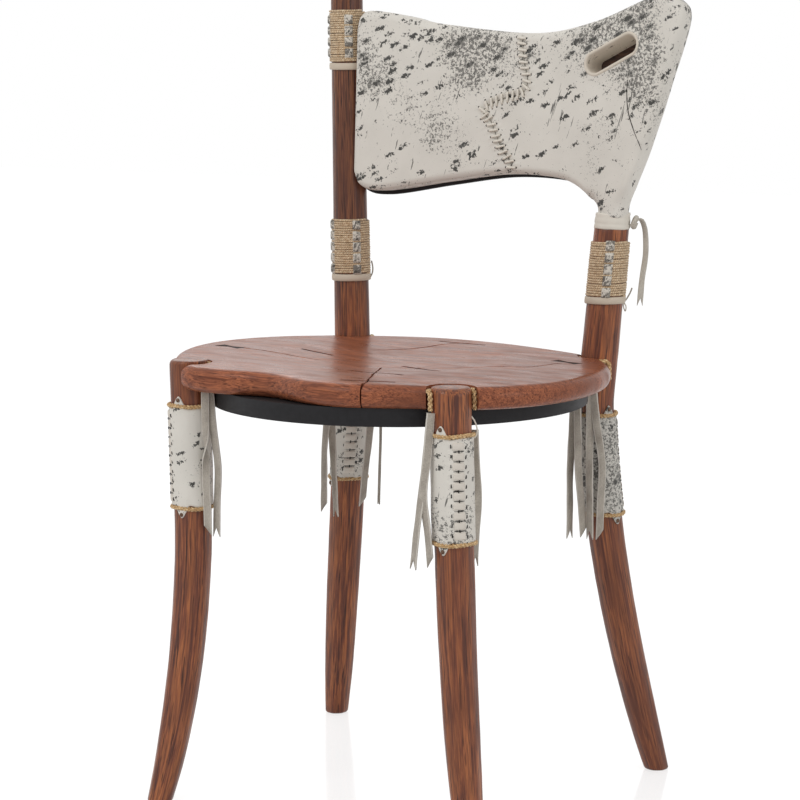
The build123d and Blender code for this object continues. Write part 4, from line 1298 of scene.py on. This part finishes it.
def panel_edge(columns, blur):
    """The panel's outline, its directions inwards and each point's share in the lower edge."""
    edge = panel_outline(columns)
    into = softened(inward(edge), 5, 1)
    into /= np.hypot(*into.T)[:, None]
    return edge, into, softened(under_share(edge, into), blur, 1)


def leather_body(columns):
    """Points of the leather, ring by ring from the back's middle round the edge to the front's middle."""
    edge, into, under = panel_edge(columns, 4)
    at_foot = np.clip((edge[:, 1] - panel_foot) / 14, 0, 1) ** 0.7
    at_foot = np.where(np.abs(edge[:, 0] - tail_x) < tail_half + 8, at_foot, 1.0)
    at_right = softened(np.clip(-into[:, 0] * 2 - 0.9, 0, 1) * (edge[:, 1] > 200), 8, 2)
    turn_in = 2.2 + 6.0 * at_foot + 4.5 * at_right
    verts = []

    def place(x, h, front):
        verts.append(on_body(x, h, front))

    for share, hidden in ((0.04, 1), (0.5, 1), (0.88, 1), (0.96, 0), (1.0, 0)):
        for k in range(columns):
            rim = edge[k] + into[k] * ((1 - under[k]) * wrap * at_foot[k] + 0.3)
            x, h = panel_core + (rim - panel_core) * share
            shown = board_front(x) * under[k] + (0.3 - board_back) * (1 - under[k])
            place(x, h, max(shown, -11.0) if hidden else shown)
    for level in (0.06, 0.16, 0.30, 0.46, 0.64, 0.82, 1.0):
        for k in range(columns):
            pull = 0.45 * rough(edge[k, 0] * 0.03, edge[k, 1] * 0.03, level * 1.2)
            start = board_front(edge[k, 0]) * under[k] - (board_back - 0.6) * (1 - under[k])
            front = start + (6 - start) * level
            curve = 1 - sqrt(1 - (1 - min(1.0, level / 0.8)) ** 2)
            inset = (1 - under[k]) * wrap * at_foot[k] * curve
            x, h = edge[k] + into[k] * (0.3 + pull * 0.5 + inset)
            place(x, h, min(front, panel_half - turn_in[k]))
    for turn in range(0, 91, 9):
        a = radians(turn)
        for k in range(columns):
            x, h = edge[k] + into[k] * (0.3 + turn_in[k] * (1 - cos(a)))
            height = leather_at(x, h) if turn > 50 else panel_half - 0.2
            place(x, h, height - turn_in[k] * (1 - sin(a)))
    inner = edge + into * (turn_in + 0.3)[:, None]
    smoothed = softened(inner, 14, 3)
    for row in range(1, leather_rows):
        share = 0.012 + 0.988 * (1 - row / leather_rows)
        soft = min(1.0, (1 - share) / 0.25)
        soft *= soft * (3 - 2 * soft)
        for x, h in panel_core + (inner * (1 - soft) + smoothed * soft - panel_core) * share:
            place(x, h, leather_at(x, h))
    return verts


def furrow(path, width, depth, seed, taper):
    """A groove in the leather. taper is the share of its length in which an end thins out."""
    line = level_path(path, 1.6)
    n, verts = len(line), []
    for i, p in enumerate(line):
        side = sideways(course(line, i))
        thin = min(1.0, (i + 0.5) / n / taper, (n - i - 0.5) / n / taper) ** 0.6
        half = max(0.08, width * thin * (0.5 + 0.15 * rough(i * 0.4, seed, 0)))
        ground = leather_at(p.x, p.y)
        verts += [on_panel(p.x + side.x * half * 1.5, p.y + side.y * half * 1.5, ground + 2.0),
                  on_panel(p.x - side.x * half * 1.5, p.y - side.y * half * 1.5, ground + 2.0),
                  on_panel(p.x, p.y, ground - depth * max(0.3, thin))]
    return verts, trough_faces(n)


def slot_ring(grow):
    """Points of the slot's outline, moved outwards, anticlockwise."""
    straight, r = slot_length / 2 - slot_width / 2, slot_width / 2 + grow
    points = []
    for k in range(slot_columns):
        a = 2 * pi * (k + 0.5) / slot_columns
        u = r * cos(a) + (straight if cos(a) > 0 else -straight)
        points.append((slot_x + u * slot_along.x + r * sin(a) * slot_across.x,
                       slot_h + u * slot_along.y + r * sin(a) * slot_across.y))
    return points


def slot_row(grow):
    """The same inside the slot: its upper left wall slopes, its lower right one is upright."""
    shift = slot_across * min(0.0, grow + 1.0)
    return [(x + shift.x, h + shift.y) for x, h in slot_ring(grow)]


def slot_hollow():
    """What the finger slot takes out of the leather."""
    pocket = slot_ring(0.4)
    mouth = [on_panel(x, h, panel_half) - panel_back * 30 for x, h in pocket]
    floor = [on_panel(x, h, panel_half) + panel_back * (slot_depth + 0.5) for x, h in pocket]
    return mouth + floor, plug_faces(slot_columns)


def board_body(columns):
    """Points of the black board: inset all round, but standing out below the lower edge."""
    edge, into, under = panel_edge(columns, 3)
    fade = 1 - 0.55 * np.clip((edge[:, 0] - side_x) / (tail_x - side_x), 0, 1)
    inset = 12.0 * (1 - under) - board_lip * fade * under
    outline = edge + into * inset[:, None]
    outline[:, 1] = np.maximum(outline[:, 1], 152.0)
    verts = []
    back_rows = [(0.0, share) for share in (0.04, 0.2, 0.35, 0.5, 0.65, 0.8, 0.92, 0.99)] + [(0.12, 1.0)]
    front_rows = [(0.88, 1.0)] + [(1.0, share) for share in (0.99, 0.8, 0.6, 0.4, 0.2, 0.04)]
    for level, share in back_rows + front_rows:
        for x, h in panel_core + (outline - panel_core) * share:
            front = board_front(x) if h < 200 else board_face
            verts.append(on_body(x, h, -board_back + (front + board_back) * level))
    return verts


body_verts = leather_body(leather_columns)
backrest = piece("leather_backrest", body_verts, capped(body_verts, leather_columns), hide,
                 ["backrest_hide_left", "backrest_hide_right", "backrest_core"])
cut(backrest, [furrow([(p.x, p.y) for p in seam_line[26:-34:6]], 1.5, 2.4, 1.0, 0.02),
               furrow(crease, 1.7, 2.6, 2.0, 0.3), slot_hollow()])
body_verts = board_body(board_columns)
piece("back_board", body_verts, capped(body_verts, board_columns), black_paint, ["backrest_board"])

verts, flow = [], []
for grow, depth in slot_lip:
    for k, (x, h) in enumerate(slot_row(grow)):
        wave = 0.25 * rough(k * 0.25, grow * 0.2, 0)
        sunk = depth + wave + (leather_at(x, h) - panel_half) * (depth > -1)
        verts.append(on_panel(x, h, panel_half) - panel_back * sunk)
        flow.append((x, h, depth * 3))
piece("rolled_slot_lining", verts, grid_faces(len(slot_lip), slot_columns), lining_leather, ["slot_lining"],
      flow)
# the slot's floor: wood, coloured dark as painted shade of the pocket
floor_verts = [on_panel(x, h, panel_half) + panel_back * (slot_depth - 0.9) for x, h in slot_row(-3.6)]
floor_verts += [p + panel_back * 0.5 for p in floor_verts]
piece("slot_floor", floor_verts, plug_faces(slot_columns), core_wood,
      flow=[(p.z, p.y, p.x) for p in floor_verts])

# a dark tube just under the crease: painted shade in the fold
fold_shade = Batch()
fold_line = [on_panel(p.x, p.y, leather_at(p.x, p.y) - 0.9) for p in level_path(crease, 2.0)]
fold_shade.add(*tube(fold_line, lambda share: 0.25 + 0.5 * sin(pi * share), 7))
fold_shade.piece("painted_fold_shade", painted_shade, slot="pale_leather")
stitches, stitch_hole_shade = Batch(), Batch()
run, due, count = 0.0, 3.0, 0
for i in range(1, len(seam_line) - 1):
    run += (seam_line[i] - seam_line[i - 1]).length
    if run < due:
        continue
    due += stitch_pitch
    p = seam_line[i]
    if not 187 < p.y < panel_top - 24:
        continue
    count += 1
    along = course(seam_line, i)
    reach = sideways(along) * 5.3 + along * (1.5 + 0.5 * rough(count * 1.3, 0, 0))
    path = []
    for k in range(11):
        u = -1 + 2 * k / 10
        spot = p + reach * u
        lift = 2.2 * (1 - abs(u) ** 2.4) - 0.9 * (abs(u) > 0.95)
        path.append(on_panel(spot.x, spot.y, leather_at(spot.x, spot.y) + lift))
    stitches.add(*tube(path, lambda share: 1.62 * (0.80 + 0.20 * sin(pi * share)), 9, flat=0.8))
    # dark domes at both ends of each stitch: painted shade of the stitch holes
    for end in (-1, 1):
        spot = p + reach * (end * 1.13)
        dome(stitch_hole_shade, on_panel(spot.x, spot.y, leather_at(spot.x, spot.y) - 0.1), -panel_back, 1.15, 0.4,
             3, 9)
stitch_hole_shade.piece("stitch_hole_shade", painted_shade, slot="lace")
stitches.piece("lace_stitches", lace_cream, ["seam_stitches"], "lace")

verts, flow = [], []
for out, up in cuff_profile:
    for a in angles(cuff_sides):
        z = cuff_top - cuff_height + up + 0.9 * rough(cos(a), sin(a), up * 0.02, 3)
        crumple = 0.4 * rough(cos(a) * 2.4, sin(a) * 2.4, up * 0.14) * (out > -1)
        verts.append(on_leg(short_post, z, a, out + crumple))
        flow.append((19 * cos(a), 19 * sin(a), z))
piece("folded_cuff", verts, grid_faces(len(cuff_profile), cuff_sides), lace_cream, ["tail_cuff"],
      flow)

tie = Batch()
cx, cy = leg_center(short_post, 586)
hub = Vector((cx, cy, 0))
tie_points = ((20.5, 583), (27, 588.5), (33.0, 578), (34.5, 552), (31.0, 524), (29, 497))
tie_line = tail_line(hub, 0.0, tie_points, (7, 6, 3, 1, 0.8, 0.8))
ribbon(tie, tie_line, 6.2, 1.3, 10.0, lambda share: 0.9 - 1.1 * share, 0.4, 5)
knot = [hub + ahead_of_leg * f + beside_leg * s + Vector((0, 0, z)) for f, s, z in (
    (9, 19, 580), (10, 22.5, 586), (7, 24.5, 590), (3, 22.5, 587), (4, 20.5, 581), (9, 21.5, 579),
    (11, 23.5, 584))]
tie.add(*tube(smooth_path(knot, 1.2), 2.4, 9, flat=0.7))
tie.piece("knotted_tie", strap_pale, ["cuff_tie"], "strap_leather")

loops, ends = Batch(), Batch()
beside = radians(tail_facing + 90)
for batch, post, radius, way in (
        (loops, "front_right", 0.75, ((-9, 418, -0.5), (-3, 413, 2.6), (0, 405, 5.0), (2, 398, 3.6),
                                      (3, 397, 1.6), (6, 403, 1.2))),
        (loops, "back_right", 0.75, ((-14, 501, 1.5), (-6, 497, 3.4), (0, 492, 3.2), (8, 495, 1.8),
                                     (16, 501, 1.2))),
        (ends, "back_right", 1.15, ((-10, 503, 2.0), (-3, 506, 4.0), (0, 511, 6.5), (2, 516, 8.2))),
        (ends, "back_left", 1.1, ((-10, 512, 2.2), (-2, 516, 4.0), (0, 522, 4.6), (4, 529, 3.4)))):
    path = [on_leg(LEGS[post], z, beside + radians(turn), out) for turn, z, out in way]
    batch.add(*tube(smooth_path(path, 0.8), radius, 8, flat=0.7))
loops.piece("lace_loops", lace_cream, slot="lace")
ends.piece("tail_ends", strap_suede, slot="strap_leather")

# ---------------------------------------------------------------------------------------
# Studio
# ---------------------------------------------------------------------------------------

floor_mesh = bpy.data.meshes.new("floor")
floor_mesh.from_pydata([(-9, -9, 0), (9, -9, 0), (9, 9, 0), (-9, 9, 0)], [], [(0, 1, 2, 3)])
floor = add_object("floor", floor_mesh)
ground = surface("floor")
ground.tree.nodes.remove(ground.tree.nodes["Principled BSDF"])
white = (1.0, 1.0, 1.0)
matte = ground.node("BsdfDiffuse", Color=(0.93, 0.93, 0.93))
glow = ground.node("Emission", Color=white, Strength=0.66)
brighten = ground.node("Emission", Color=white, Strength=0.42)
sheen = ground.node("BsdfGlossy", Color=white, Roughness=0.12)
polished = ground.blend(0.16, ground.both(ground.blend(0.40, glow, matte), brighten), sheen)
plain = ground.node("BsdfDiffuse", Color=(0.80, 0.80, 0.80))
ground.show(ground.blend(ground.direct(), plain, polished))
floor.data.materials.append(ground.owner)

world = bpy.data.worlds.new("studio")
bpy.context.scene.world = world
sky = Nodes(world)
dome_light = sky.tree.nodes["Background"]
dome_light.inputs["Color"].default_value = (*white, 1.0)
dome_light.inputs["Strength"].default_value = 0.62
backdrop = sky.node("Background", Color=white, Strength=1.0)
sky.show(sky.blend(sky.direct(), dome_light.outputs[0], backdrop), "World Output")


def softbox(name, place, aim, size, power):
    """A light panel at a place in metres, turned to a point."""
    light = bpy.data.lights.new(name, "AREA")
    light.shape, light.size, light.size_y = "RECTANGLE", size[0], size[1]
    light.energy = power
    obj = add_object(name, light)
    obj.location = place
    obj.rotation_euler = (Vector(aim) - Vector(place)).to_track_quat("-Z", "Y").to_euler()


softbox("key", (-0.6, -2.2, 2.6), (0, 0, 0.5), (1.4, 1.4), 26)
softbox("side", (2.6, -0.2, 1.5), (0, 0, 0.45), (1.2, 1.8), 10)
softbox("rear", (-1.8, 1.8, 2.0), (0, 0, 0.5), (1.2, 1.2), 10)

scene_view = bpy.context.scene.view_settings
scene_view.view_transform = "Standard"
